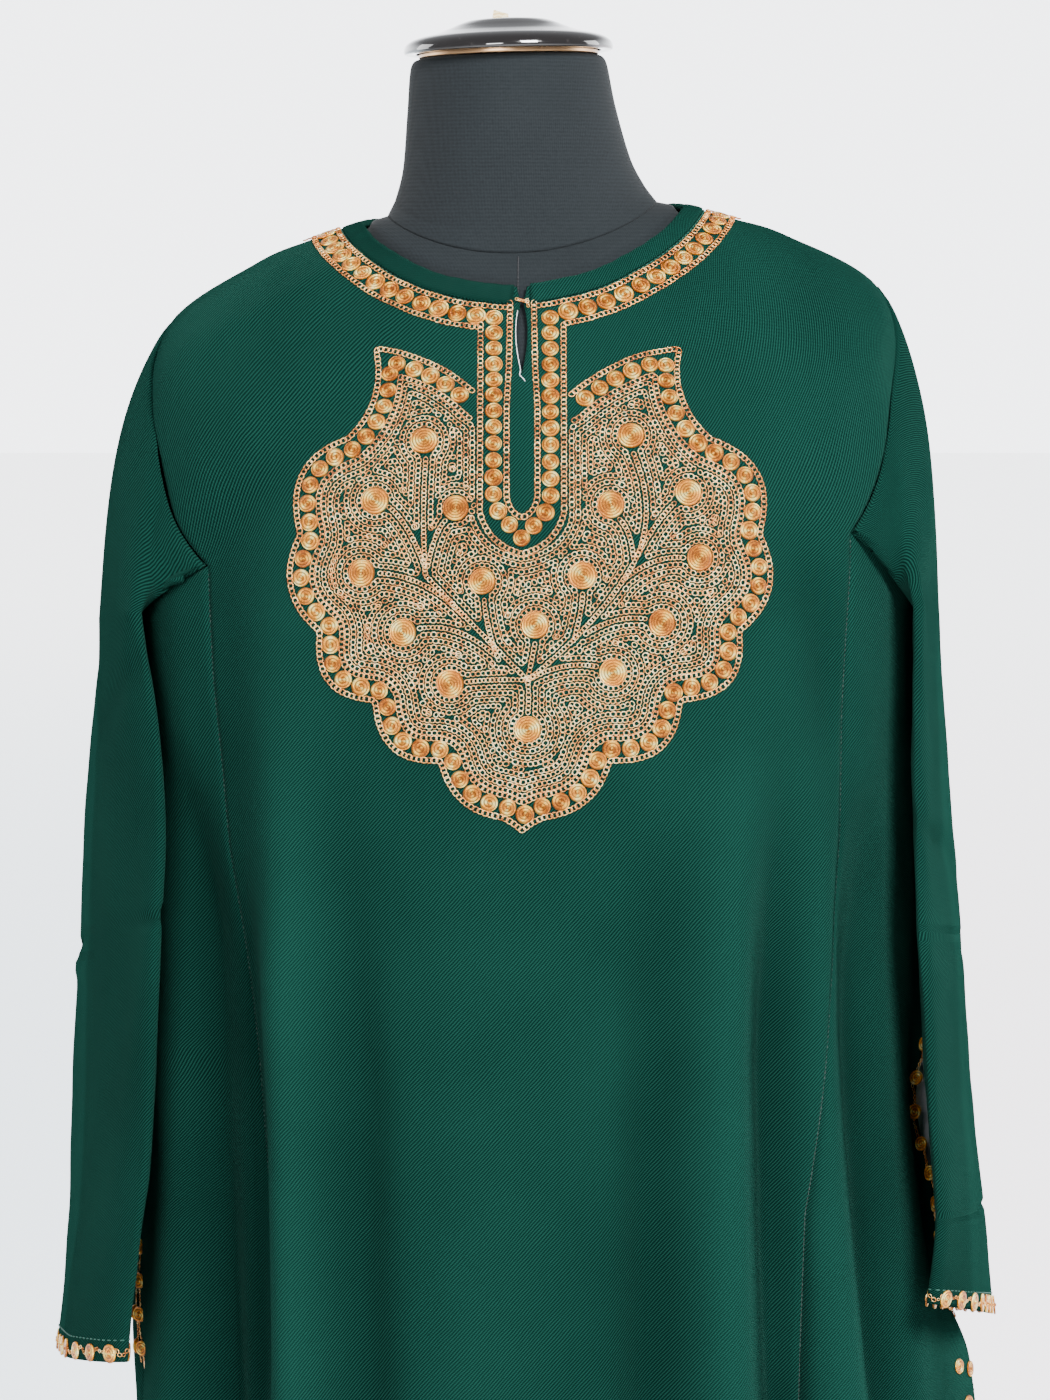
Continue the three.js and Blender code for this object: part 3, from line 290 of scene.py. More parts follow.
# %% Folds
FOLD = ("z_top", "a_top", "z_mid", "a_mid", "depth_mid", "z_end", "a_end", "depth_end", "width")
FOLD_ROWS = [
    (1335, -20, 1225, -44, -5, 1075, -47, -7, 8),
    (1325, -15, 1235, -34, 3, 1060, -38, 3, 8),
    (1130, -58, 1000, -56, -16, 700, -52, -22, 5.5),
    (1100, -51, 940, -48, -6, 600, -46, -6, 5),
    (1090, -45, 900, -41, -11, 560, -39, -15, 3.8),
    (1175, -35, 960, -34, 10, 560, -31, 14, 4.6),
    (1110, -27, 880, -24, -11, 520, -22, -15, 5),
    (1060, -6, 800, -6, 4, 500, -5, 8, 8),
    (1110, 20, 880, 18, -12, 500, 15, -16, 4.8),
    (1165, 30, 960, 28, 11, 560, 25, 14, 5),
    (1140, 38, 940, 36, -14, 560, 34, -17, 3.8),
    (1165, 44, 960, 43, 6, 560, 42, 10, 4.5),
    (1290, 36, 1170, 44, -5, 1040, 46, 0, 4),
    (1120, 53, 960, 53, -12, 700, 56, -19, 5.5),
    (1080, 46, 900, 46, 4, 600, 47, 9, 3.8),
    (775, -88, 690, -86, -13, 500, -84, -15, 7),
    (850, -81, 775, -82, -5, 720, -82, -3, 6),
    (860, -97, 775, -98, 8, 690, -98, 3, 8),
    (960, 81, 900, 81, -10, 790, 82, -2, 6),
    (1210, 94, 1150, 94, 3, 1070, 95, 0.5, 11),
    (1160, 97, 985, 97, 9, 760, 96, 2, 13),
    (990, 99, 900, 99, 8, 790, 97, 1, 10),
    (800, 90, 745, 90, 13, 600, 91, 7, 9),
    (720, 76, 600, 76, -11, 450, 77, -15, 6),
    (700, -70, 560, -70, 8, 420, -70, 11, 6),
    (1110, -126, 960, -124, -11, 620, -122, -17, 6),
    (1150, -141, 960, -141, 7, 580, -140, 11, 6),
    (1120, -154, 930, -155, -8, 560, -155, -13, 6),
    (1180, -169, 930, -169, 6, 560, -168, 10, 6),
    (1110, 178, 900, 177, -8, 540, 177, -14, 6),
    (1150, 162, 950, 162, 7, 560, 162, 11, 6),
    (1120, 148, 940, 147, -9, 560, 147, -14, 6),
    (1120, 133, 950, 133, 6, 560, 133, 10, 5),
    (1080, 120, 940, 120, -9, 620, 119, -15, 6),
]


def fold_push(degrees, z):
    push = np.zeros(np.broadcast(degrees, z).shape)
    for row in FOLD_ROWS:
        f = dict(zip(FOLD, row))
        upper = smoothstep(f["z_top"] - z, 0, f["z_top"] - f["z_mid"])
        lower = smoothstep(f["z_mid"] - z, 0, f["z_mid"] - f["z_end"])
        deeper = f["depth_mid"] + (f["depth_end"] - f["depth_mid"]) * lower
        depth = np.where(z > f["z_mid"], upper * f["depth_mid"], deeper)
        reach = np.clip((f["z_top"] - z) / (f["z_top"] - f["z_mid"]), 0, 1)
        further = np.clip((f["z_mid"] - z) / (f["z_mid"] - f["z_end"]), 0, 1)
        above = f["a_top"] + (f["a_mid"] - f["a_top"]) * reach
        below = f["a_mid"] + (f["a_end"] - f["a_mid"]) * further
        away = (np.mod(degrees - np.where(z > f["z_mid"], above, below) + 180, 360) - 180) / f["width"]
        push = push + depth * np.exp(-away * away)
    return push


print("folds:", len(FOLD_ROWS))

# %% [markdown]
# ## From the tables to a surface
# One function turns an angle and a row number into a point on the cloth's outer face. All the panels, and
# the embroidery that lies on them, come from it, so they cannot drift apart.

# %% The body surface
LEAN, LEAN_FROM, LEAN_FULL = 0.052, 930, 1180
DEGREE_STEP, ROW_STEP = 0.4, 0.02


def leaned(points):
    """The right shoulder hangs a little higher than the left one."""
    x, z = points[..., 0], points[..., 2]
    points[..., 2] = z + LEAN * x * smoothstep(z, LEAN_FROM, LEAN_FULL)
    return points


def ring_point(table, degrees, row, inset=0.0):
    s = np.sin(np.radians(degrees))
    c = np.cos(np.radians(degrees))
    power = smooth_column(table["square"], row)
    k = (np.abs(s) ** power + np.abs(c) ** power) ** (-1 / power)
    at = {key: smooth_column(table[key], row) for key in SECTION[:7]}
    width = np.where(s < 0, at["left"], at["right"]) - inset
    depth = np.where(c > 0, at["front"], at["back"]) - inset
    middle = np.where(c > 0, at["z_front"], at["z_back"])
    side = at["z_side"]
    z = side + (middle - side) * (np.abs(c) * k) ** 1.6 - inset
    return leaned(np.stack([width * s * k, -depth * c * k, z], -1))


def body_point(degrees, row):
    degrees, row = np.broadcast_arrays(np.asarray(degrees, float), np.asarray(row, float))
    p = ring_point(BODY, degrees, row)
    push = fold_push(degrees, p[..., 2])
    p[..., 0] += push * np.sin(np.radians(degrees))
    p[..., 1] -= push * np.cos(np.radians(degrees))
    return p


def unit(vectors):
    return vectors / np.maximum(np.linalg.norm(vectors, axis=-1, keepdims=True), 1e-12)


def body_normal(degrees, row):
    row = np.asarray(row, float)
    across = body_point(degrees + DEGREE_STEP, row) - body_point(degrees - DEGREE_STEP, row)
    below, above = np.minimum(row + ROW_STEP, HEM_ROW), np.maximum(row - ROW_STEP, 0)
    down = body_point(degrees, below) - body_point(degrees, above)
    return unit(np.cross(down, across))


print("front hem point:", body_point(0.0, HEM_ROW).round(1))

# %% [markdown]
# Real wool is also never quite smooth between its folds. A few slow waves about a millimetre high keep the
# light from sliding over it as over plastic. They belong to the surface, so what is sewn on it follows them
# too.

# %% The fine surface
MM_PER_DEGREE = 3.3
WAVES = ((95, 0.75), (62, 0.5), (41, 0.3), (27, 0.16))
DEEPEST_FOLD = 13


def unevenness(u, v, seed):
    rng = np.random.default_rng(seed)
    total = np.zeros(np.broadcast(u, v).shape)
    for length, height in WAVES:
        for _ in range(3):
            heading, phase = rng.uniform(-0.6, 0.6), rng.uniform(0, 2 * math.pi)
            travelled = u * math.cos(heading) + v * math.sin(heading)
            total += height / 3 * np.sin(2 * math.pi * travelled / length + phase)
    return total


def fold_share(degrees, row):
    """How far a point stands out on a fold, from -1 in a deep hollow to 1 on a high ridge."""
    degrees, row = np.broadcast_arrays(np.asarray(degrees, float), np.asarray(row, float))
    return np.clip(fold_push(degrees, ring_point(BODY, degrees, row)[..., 2]) / DEEPEST_FOLD, -1, 1)


def cloth_surface(degrees, row):
    """Points and normals of the cloth's outer face, with its small waves."""
    degrees, row = np.broadcast_arrays(np.asarray(degrees, float), np.asarray(row, float))
    points, normals = body_point(degrees, row), body_normal(degrees, row)
    wave = unevenness(degrees * MM_PER_DEGREE, points[..., 2], 5)
    return points + normals * wave[..., None], normals


trial = unevenness(np.arange(400.0), np.arange(400.0), 3)
print("unevenness, largest mm:", float(np.abs(trial).max().round(2)))

# %% [markdown]
# ## From a surface to a panel of cloth
# A panel is a grid of points with a wall's thickness behind it. The wall is closed round its edges, as real
# cloth is, so light cannot leak through, and its UV map is the cloth laid flat.

# %% Cloth walls
SPOTS_PER_MM = 50


def lay_flat(points, start_column=0):
    steps = np.linalg.norm(np.diff(points, axis=1), axis=-1)
    u = np.concatenate([np.zeros((len(points), 1)), np.cumsum(steps, axis=1)], axis=1)
    u = u - u[:, start_column:start_column + 1]
    drops = np.linalg.norm(np.diff(points, axis=0), axis=-1).mean(axis=1)
    v = -np.concatenate([[0], np.cumsum(drops)])
    return np.stack([u, np.repeat(v[:, None], u.shape[1], 1)], -1) * MM


def grid_normals(points):
    down = np.gradient(points, axis=0)
    across = np.gradient(points, axis=1)
    return unit(np.cross(down, across))


def grid(points, normals=None, uv=None, fold=None):
    """A panel's points with what goes with each: its normal, its place on the flat cloth, and the value that
    paints its light and shade.
    """
    return {
        "points": points,
        "normals": grid_normals(points) if normals is None else normals,
        "uv": lay_flat(points) if uv is None else uv,
        "fold": np.zeros(points.shape[:2]) if fold is None else fold,
    }


def mesh_object(name, points, faces, material, uv=None, layer="cloth"):
    mesh = bpy.data.meshes.new(name)
    mesh.from_pydata((points * MM).tolist(), [], [list(f) for f in faces])
    mesh.polygons.foreach_set("use_smooth", np.ones(len(mesh.polygons), bool))
    if uv is not None:
        mesh.uv_layers.new(name=layer).data.foreach_set("uv", np.asarray(uv, np.float32).ravel())
    mesh.materials.append(material)
    mesh.update()
    made = bpy.data.objects.new(name, mesh)
    scene.collection.objects.link(made)
    return made


def wall(name, grids, thickness, material):
    """Grids joined where they share points, with a second layer behind them and a rim between the two."""
    points, normals, uv, cells, fold = [], [], [], [], []
    start = 0
    for g in grids:
        rows, columns = g["points"].shape[:2]
        index = start + np.arange(rows * columns).reshape(rows, columns)
        corners = (index[:-1, :-1], index[1:, :-1], index[1:, 1:], index[:-1, 1:])
        cells.append(np.stack(corners, -1).reshape(-1, 4))
        points.append(g["points"].reshape(-1, 3))
        normals.append(g["normals"].reshape(-1, 3))
        uv.append(g["uv"].reshape(-1, 2))
        fold.append(g["fold"].ravel())
        start += rows * columns
    points, normals, uv, cells, fold = (np.concatenate(x) for x in (points, normals, uv, cells, fold))
    spots = np.round(points * SPOTS_PER_MM).astype(int)
    _, first, same = np.unique(spots, axis=0, return_index=True, return_inverse=True)
    same = same.ravel()
    shared = np.zeros((len(first), 3))
    np.add.at(shared, same, normals)
    base, shared = points[first], unit(shared)
    faces = same[cells]
    n = len(first)
    edges = np.concatenate([faces[:, [i, (i + 1) % 4]] for i in range(4)])
    corner_uv = np.concatenate([uv[cells[:, [i, (i + 1) % 4]]] for i in range(4)])
    rim = ~np.isin(edges[:, 1] * n + edges[:, 0], edges[:, 0] * n + edges[:, 1])
    a, b = edges[rim].T
    sides = np.stack([b, a, a + n, b + n], -1)
    side_uv = corner_uv[rim][:, [1, 0, 0, 1]]
    all_faces = np.concatenate([faces, faces[:, ::-1] + n, sides])
    all_uv = np.concatenate([uv[cells], uv[cells][:, ::-1], side_uv]).reshape(-1, 2)
    both_layers = np.concatenate([base, base - shared * thickness])
    made = mesh_object(name, both_layers, all_faces, material, all_uv)
    painted_light_value = made.data.attributes.new("fold", "FLOAT", "POINT")
    painted_light_value.data.foreach_set("value", np.tile(fold[first], 2).astype(np.float32))
    made["flat_area"] = float(sum(p.area for p in made.data.polygons) / 2)
    return made


def hang(made, cad_node, width, length, held="hung", on="form_torso"):
    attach(made, "root")
    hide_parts(cad_node)


# %% [markdown]
# ## Seams
# A seam pulls the cloth in a little on both sides, so every sewn edge dips by about a third of a
# millimetre.

# %% Seams and rows
def seam_dip(distance, depth=0.35, width=2.2):
    return -depth * np.exp(-(distance / width) ** 2)


def sunk_edges(points, normals):
    """Dips a panel's first and last columns, where it is seamed to its neighbours."""
    flat = lay_flat(points)[..., 0] / MM
    push = seam_dip(flat) + seam_dip(flat[:, -1:] - flat)
    return points + normals * push[..., None]


def finer_rows(breaks, spacing):
    """Row numbers from the first break to the last, about spacing mm apart down the side and the front."""
    rows = np.linspace(breaks[0], breaks[1], 2000)
    near_front, near_side = (body_point(np.full(rows.shape, angle), rows) for angle in (30.0, 88.0))
    path = 0.5 * near_front + 0.5 * near_side
    travelled = np.concatenate([[0], np.cumsum(np.linalg.norm(np.diff(path, axis=0), axis=1))])
    count = max(3, int(travelled[-1] / spacing))
    return np.interp(np.linspace(0, travelled[-1], count + 1), travelled, rows)


print("rows on the back:", len(finer_rows((0, HEM_ROW), 6.0)))

# %% [markdown]
# ## Front and back
# Both are cut in one from the shoulder to the hem. The front has a slit below the neckline, tacked shut
# near its top, so it is made as two halves that share their middle line below the slit.

# %% Front panel
KEYHOLE = {"top": 1360, "tack": 1351, "bottom": 1314, "mouth": 2.8, "tack_half": 0.7, "half": 2.9}


def keyhole_half(z):
    k = KEYHOLE
    above_tack = np.clip((z - k["tack"]) / (k["top"] - k["tack"]), 0, 1)
    mouth = k["tack_half"] + (k["mouth"] - k["tack_half"]) * above_tack
    t = np.clip((k["tack"] - z) / (k["tack"] - k["bottom"]), 0, 1)
    closing = k["tack_half"] * (1 - t)
    lens_shape = closing + (k["half"] - closing) * np.sin(math.pi * t ** 0.8)
    return np.where(z > k["tack"], mouth, np.where(t < 1, lens_shape, 0))


def gap_degrees(row):
    return np.degrees(SEAM_GAP / 4 / smooth_column(BODY["front"], row))


def front_half(side, rows, columns=56):
    u = np.linspace(-1, 0, columns + 1) if side < 0 else np.linspace(0, 1, columns + 1)
    edge = (straight_column(BODY["front_seam"], rows) - gap_degrees(rows))[:, None]
    degrees = u[None, :] * edge
    row = np.broadcast_to(rows[:, None], degrees.shape)
    points, normals = cloth_surface(degrees, row)
    flat = lay_flat(points, columns if side < 0 else 0)
    flat[..., 1] = lay_flat(body_point(np.array([[0.0, 1.0]]), rows[:, None]))[:, :1, 1]
    seam_column, middle = (0, columns) if side < 0 else (-1, 0)
    distance = np.abs(flat[..., 0] / MM - flat[:, seam_column, 0][:, None] / MM)
    points = points + normals * seam_dip(distance)[..., None]
    points[:, middle, 0] += side * keyhole_half(points[:, middle, 2])
    return grid(points, normals, flat, fold_share(degrees, row))


BELOW_SLIT_ROW = 3.4
CLOSE_ROWS, FRONT_SPACING, BACK_SPACING, LINING_SPACING = 3.2, 5.2, 6.0, 4.0
above_slit_foot = finer_rows((0, BELOW_SLIT_ROW), CLOSE_ROWS)[:-1]
front_rows = np.concatenate([above_slit_foot, finer_rows((BELOW_SLIT_ROW, HEM_ROW), FRONT_SPACING)])
front = wall("front_cloth", [front_half(-1, front_rows), front_half(1, front_rows)], CLOTH, GREEN_WOOL)
print("front panel faces:", len(front.data.polygons))

# %% Back panel
def back_part(rows, columns=84):
    u = np.linspace(0, 1, columns + 1)[None, :]
    edge = (straight_column(BODY["back_seam"], rows) + gap_degrees(rows))[:, None]
    degrees = edge + (360 - 2 * edge) * u
    row = np.broadcast_to(rows[:, None], degrees.shape)
    points, normals = cloth_surface(degrees, row)
    return grid(sunk_edges(points, normals), normals, fold=fold_share(degrees, row))


back_rows = finer_rows((0, HEM_ROW), BACK_SPACING)
back = wall("back_cloth", [back_part(back_rows)], CLOTH, GREEN_WOOL)
print("back panel faces:", len(back.data.polygons))

# %% [markdown]
# ## Side gores
# The gores widen the body from the underarm down. The side seam between the front and the back gore is left
# open for a hand's length, as the mouth of the pocket, and there the two edges part.

# %% Gores
SIDES = ("left", "right")
POCKET = {"top": 940, "bottom": 742, "gape_top": 940, "gape_bottom": 846}
GAPE = {"left": {"front": 3.4, "back": 3.0}, "right": {"front": 4.6, "back": 3.4}}


def sign_of(side):
    return -1 if side == "left" else 1


def gape_degrees(side, part, z):
    t = np.clip((POCKET["gape_top"] - z) / (POCKET["gape_top"] - POCKET["gape_bottom"]), 0, 1)
    return GAPE[side][part] * np.sin(math.pi * t ** 0.85)


def gore_angle(side, part, u, row):
    towards = 1 if part == "front" else -1
    seam = straight_column(BODY[f"{part}_seam"], row) + towards * gap_degrees(row)
    end = 90 - towards * (gap_degrees(row) + gape_degrees(side, part, smooth_column(BODY["z_side"], row)))
    return sign_of(side) * (seam + (end - seam) * u)


def gore(side, part, columns=30):
    rows = finer_rows((UNDERARM_ROW, HEM_ROW), FRONT_SPACING)
    u = np.linspace(0, 1, columns + 1)
    flipped = (side == "left") == (part == "front")
    u = u[::-1] if flipped else u
    row = np.broadcast_to(rows[:, None], (len(rows), columns + 1))
    degrees = gore_angle(side, part, u[None, :], rows[:, None])
    points, normals = cloth_surface(degrees, row)
    cloth = grid(sunk_edges(points, normals), normals, fold=fold_share(degrees, row))
    return wall(f"{side}_{part}_gore_cloth", [cloth], CLOTH, GREEN_WOOL)


gores = {(side, part): gore(side, part) for side in SIDES for part in ("front", "back")}
print("gore faces:", [len(g.data.polygons) for g in gores.values()])

# %% [markdown]
# ## Sleeves
# The sleeves are plain straight tubes, pressed flat, that hang from the armholes with one pressed edge
# forward. Each row of the table is a flattened ring: where the two pressed edges are, and how far the outer
# layer bows out.

# %% Sleeve shape
HANG = ("x_front", "y_front", "z_front", "x_back", "y_back", "z_back", "bulge")
SLEEVE_ROWS = {
    "left": [
        (-207, -96, 1185, -238, 52, 1166, 12),
        (-196, -100, 1092, -250, 50, 1072, 12),
        (-197, -101, 1005, -257, 50, 975, 11),
        (-203, -101, 910, -260, 50, 885, 12),
        (-211, -100, 838, -264, 50, 812, 12),
        (-219, -97, 771, -270, 50, 741, 13),
    ],
    "right": [
        (213, -96, 1188, 237, 52, 1172, 5),
        (214, -99, 1095, 244, 50, 1078, 6),
        (217, -100, 1012, 252, 50, 985, 8),
        (222, -100, 925, 257, 50, 902, 9),
        (229, -99, 850, 267, 50, 826, 9),
        (225, -97, 804, 275, 50, 760, 10),
    ],
}
HANGING = {
    side: {key: np.array([row[i] for row in rows], float) for i, key in enumerate(HANG)}
    for side, rows in SLEEVE_ROWS.items()
}
EDGE_HALF, INNER_BULGE, PEAK_SKEW = 4.6, 0.5, 0.68
SHOULDER_BULGE, UNDERARM_EASE = 11, 3.5
RIDGE_SHARPNESS = 1.35
SLEEVE_WAVES, SLEEVE_ROW_MM = 1.6, 95
CUFF_ROW = 6


def armhole_point(sign, angle):
    row_front = SHOULDER_ROW + (UNDERARM_ROW - SHOULDER_ROW) * (90 - angle) / 135
    row_back = UNDERARM_ROW + (SHOULDER_ROW - UNDERARM_ROW) * (-135 - angle) / 135
    low_front, low_back = BODY["front_seam"][UNDERARM_ROW], BODY["back_seam"][UNDERARM_ROW]
    t = (-45 - angle) / 90
    under = np.where(t < 0.5, low_front + (90 - low_front) * 2 * t, 90 + (low_back - 90) * (2 * t - 1))
    front_side, back_side = angle >= -45, angle <= -135
    row = np.where(front_side, row_front, np.where(back_side, row_back, UNDERARM_ROW))
    front_seam = straight_column(BODY["front_seam"], row_front)
    back_seam = straight_column(BODY["back_seam"], row_back)
    degrees = np.where(front_side, front_seam, np.where(back_side, back_seam, under))
    p = body_point(sign * degrees, row)
    bottom = ~(front_side | back_side)
    turn = np.radians(degrees)
    away = np.stack([sign * np.sin(turn), -np.cos(turn), np.full(turn.shape, 0.5)], -1) * SEAM_GAP * 2
    outward = np.broadcast_to(np.array([sign * SEAM_GAP * 1.6, 0, 0]), p.shape)
    return p + np.where(bottom[..., None], away, outward)


def hanging_point(side, angle, row):
    sign = sign_of(side)
    at = {key: smooth_column(HANGING[side][key], row) for key in HANG}
    front_edge = np.stack([at["x_front"], at["y_front"], at["z_front"]], -1)
    back_edge = np.stack([at["x_back"], at["y_back"], at["z_back"]], -1)
    along = (1 - np.cos(np.radians(angle))) / 2
    lift = np.sin(np.radians(angle))
    edge = np.sign(lift) * EDGE_HALF * np.sqrt(np.abs(lift))
    ridge = 1 - np.abs(2 * along ** PEAK_SKEW - 1) ** RIDGE_SHARPNESS
    layer = np.where(lift > 0, at["bulge"] * ridge, -INNER_BULGE * np.sin(math.pi * along))
    chord = back_edge - front_edge
    level = np.zeros(chord.shape[:-1])
    out = unit(np.stack([np.abs(chord[..., 1]), -sign * chord[..., 0], level], -1)) * sign
    out[..., 1] = -np.abs(out[..., 1])
    return front_edge + chord * along[..., None] + out * (edge + layer)[..., None]


print("left cuff front edge:", hanging_point("left", np.array(0.0), np.array(5.0)).round(0))

# %% Sleeves
def sleeve_surface(side, angle, t):
    sign = sign_of(side)
    hung = hanging_point(side, angle, np.maximum(t - 1, 0))
    share = np.clip(t, 0, 1)[..., None]
    p = armhole_point(sign, angle) * (1 - share) + hung * share
    t = np.clip(t, 0, 1)
    topness = np.clip(np.sin(np.radians(angle)), 0, 1) ** 1.5
    underness = np.sqrt(np.clip(-np.sin(np.radians(angle)), 0, 1))
    p[..., 0] += sign * SHOULDER_BULGE * topness * np.sin(math.pi * t ** 0.75)
    away = unit(np.stack([p[..., 0], 2 * p[..., 1], np.zeros(t.shape)], -1))
    return p + away * (UNDERARM_EASE * underness * np.sin(math.pi * t ** 0.5))[..., None]


CREASE = ("side", "t", "slant", "angle", "spread", "depth", "width")
CREASES = [
    ("left", 2.98, 0.10, 175, 60, -4.5, 0.045),
    ("left", 3.10, -0.05, 150, 55, 2.0, 0.06),
    ("left", 2.84, 0.06, 10, 30, -3.0, 0.04),
    ("left", 1.55, 0.25, 60, 60, -2.2, 0.09),
    ("right", 3.02, -0.10, 170, 50, -3.5, 0.05),
    ("right", 2.45, 0.20, 60, 70, -2.0, 0.09),
    ("right", 4.96, 0.02, 90, 105, -2.0, 0.03),
]


def sleeve_creases(side, angle, t):
    push = np.zeros(np.broadcast(angle, t).shape)
    for row in CREASES:
        c = dict(zip(CREASE, row))
        if c["side"] != side:
            continue
        turn = np.mod(angle - c["angle"] + 180, 360) - 180
        along = (t - c["t"] - c["slant"] * np.sin(np.radians(turn))) / c["width"]
        push = push + c["depth"] * np.exp(-along * along - (turn / c["spread"]) ** 2)
    return push


def sleeve_cloth(side, angle, t):
    """Points and normals of a sleeve's outer face, with its waves and its elbow and cuff creases."""
    angle, t = np.broadcast_arrays(np.asarray(angle, float), np.asarray(t, float))
    points = sleeve_surface(side, angle, t)
    turn = sign_of(side)
    across = (sleeve_surface(side, angle + 1, t) - sleeve_surface(side, angle - 1, t)) * turn
    below, above = np.minimum(t + 0.01, CUFF_ROW), np.maximum(t - 0.01, 0)
    down = sleeve_surface(side, angle, below) - sleeve_surface(side, angle, above)
    normals = unit(np.cross(down, across))
    around, from_seam = np.radians(angle), SLEEVE_ROW_MM * t
    wave = unevenness(60 * np.sin(around), from_seam + 40 * np.cos(around), 31 + turn)
    fade = np.clip(t * 4, 0, 1)
    push = SLEEVE_WAVES * wave * fade + sleeve_creases(side, angle, t) + seam_dip(from_seam)
    return points + normals * push[..., None], normals


# Painted light and shade on the sleeves: each sleeve's darker tone, and the step on its outer layer where a
# lighter strip starts.
PAINTED_SLEEVE_LIGHT = {"left": {"step": 0.56, "tone": -0.35}, "right": {"step": 0.22, "tone": -0.3}}


def sleeve(side, around=72, down=128):
    angles = np.linspace(90, -270, around + 1)
    if side == "right":
        angles = angles[::-1]
    t = np.concatenate([np.linspace(0, 1, 36)[:-1], np.linspace(1, CUFF_ROW, down - 35)])
    angle, t = np.meshgrid(angles, t)
    points, normals = sleeve_cloth(side, angle, t)
    points[:, -1] = points[:, 0]
    outwards = (1 - np.cos(np.radians(angle))) / 2 * (np.sin(np.radians(angle)) > 0)
    step = PAINTED_SLEEVE_LIGHT[side]["step"] + 0.03 * np.sin(2.3 * t)
    # Painted light: beyond the step, towards the back edge, the outer layer is painted lighter where the side
    # light falls; the whole sleeve is painted darker, and its crease hollows darker still.
    painted_lit_strip = smoothstep(outwards, step, step + 0.09) * smoothstep(t, 0.7, 1.6)
    painted_sleeve_shading = PAINTED_SLEEVE_LIGHT[side]["tone"] + 1.15 * painted_lit_strip + sleeve_creases(side, angle, t) / 6
    return wall(f"{side}_sleeve_cloth", [grid(points, fold=painted_sleeve_shading)], CLOTH, GREEN_WOOL)


sleeves = {side: sleeve(side) for side in SIDES}
print("sleeve faces:", [len(s.data.polygons) for s in sleeves.values()])

# %% [markdown]
# ## Neck binding
# A folded strip of the same twill closes the neckline. It lies on the panels, rolls over the raw edge and
# goes down a little way inside, and it parts at the middle for the slit.

# %% Neck binding
ROLL = {
    "row": np.array([0.97, 0.95, 0.8, 0.5, 0.2, 0.05, 0, 0, 0, 0.1, 0.4, 0.7]),
    "rise": np.array([0.35, 1.25, 1.55, 1.65, 1.6, 1.45, 1.0, -0.3, -1.5, -2.1, -2.2, -2.2]),
    "beyond": np.array([0, 0, 0, 0, 0, 0, 1.1, 1.7, 1.1, 0, 0, 0]),
}
BINDING_CLOTH, SLIT_HALF, NECKLINE_DEPTH = 0.5, 3.4, 72


def binding(columns=260):
    slit = np.degrees(SLIT_HALF / NECKLINE_DEPTH)
    degrees = np.linspace(slit, 360 - slit, columns + 1)
    angle, row = np.meshgrid(degrees, ROLL["row"])
    points, normals = cloth_surface(angle, row)
    upwards = unit(body_point(angle, row) - body_point(angle, row + 0.1))
    near = np.minimum(np.arange(columns + 1), columns - np.arange(columns + 1))[None, :]
    swell = 0.25 * np.sin(degrees * 0.9)[None, :] * (near > 2)
    points = points + normals * (ROLL["rise"][:, None] * np.where(near < 1, 0.6, 1) + swell)[..., None]
    points = points + upwards * ROLL["beyond"][:, None, None]
    return wall("neck_binding_cloth", [grid(points[::-1])], BINDING_CLOTH, GREEN_WOOL)


neck_binding = binding()
print("binding faces:", len(neck_binding.data.polygons))

# %% [markdown]
# ## Dressing the panels
# Each panel now rides with the frame and takes its solid's place. Its call also lists the size it was cut to:
# its width and length along the cloth, not through the air.

GORE_WIDTH = {"left": {"front": 0.24, "back": 0.21}, "right": {"front": 0.25, "back": 0.225}}
GORE_LENGTH = 0.90
SLEEVE_CUT, BINDING_CUT, LINING_CUT = (0.46, 0.62), (0.57, 0.045), (0.095, 0.22)
hang(front, "front_panel", 0.56, 1.09)
hang(back, "back_panel", 0.52, 1.13)
for (side, part), made in gores.items():
    hang(made, f"{side}_{part}_gore", GORE_WIDTH[side][part], GORE_LENGTH, on="front_cloth")
for side, made in sleeves.items():
    hang(made, f"{side}_sleeve", *SLEEVE_CUT, on="front_cloth")
hang(neck_binding, "neck_binding", *BINDING_CUT, held="folded", on="front_cloth")

# %% [markdown]
# ## Metal-thread embroidery
# The chest is worked in tilla: thin metal-wrapped thread laid on the wool and hooked down in chain
# stitches, with small flat spirals, the coins, between the rows. A chain stitch is one little loop, so one
# loop is modelled and sewn along every row by Geometry Nodes. The rows themselves come from distances: the
# worker keeps each row at the same distance from the one before it, and so does the code.

# %% One chain loop and one coin
def loop_template():
    """A flat ring of thread: 1 long and 0.8 wide in stitch units, lying in the x-y plane."""
    turns, sides, thread = 9, 3, 0.1
    half_long, half_wide, height = 0.5, 0.4, 0.12
    points, faces = [], []
    for i in range(turns):
        t = 2 * math.pi * i / turns
        centre = np.array([half_long * math.cos(t), half_wide * math.sin(t), height + 0.05 * math.cos(2 * t)])
        outward = np.array([math.cos(t), math.sin(t), 0])
        for k in range(sides):
            a = 2 * math.pi * k / sides + math.pi / 2
            points.append(centre + thread * (outward * math.cos(a) + np.array([0, 0, math.sin(a)])))
    for i in range(turns):
        for k in range(sides):
            j, m = (i + 1) % turns, (k + 1) % sides
            faces.append((i * sides + k, j * sides + k, j * sides + m, i * sides + m))
    return np.array(points), faces, None


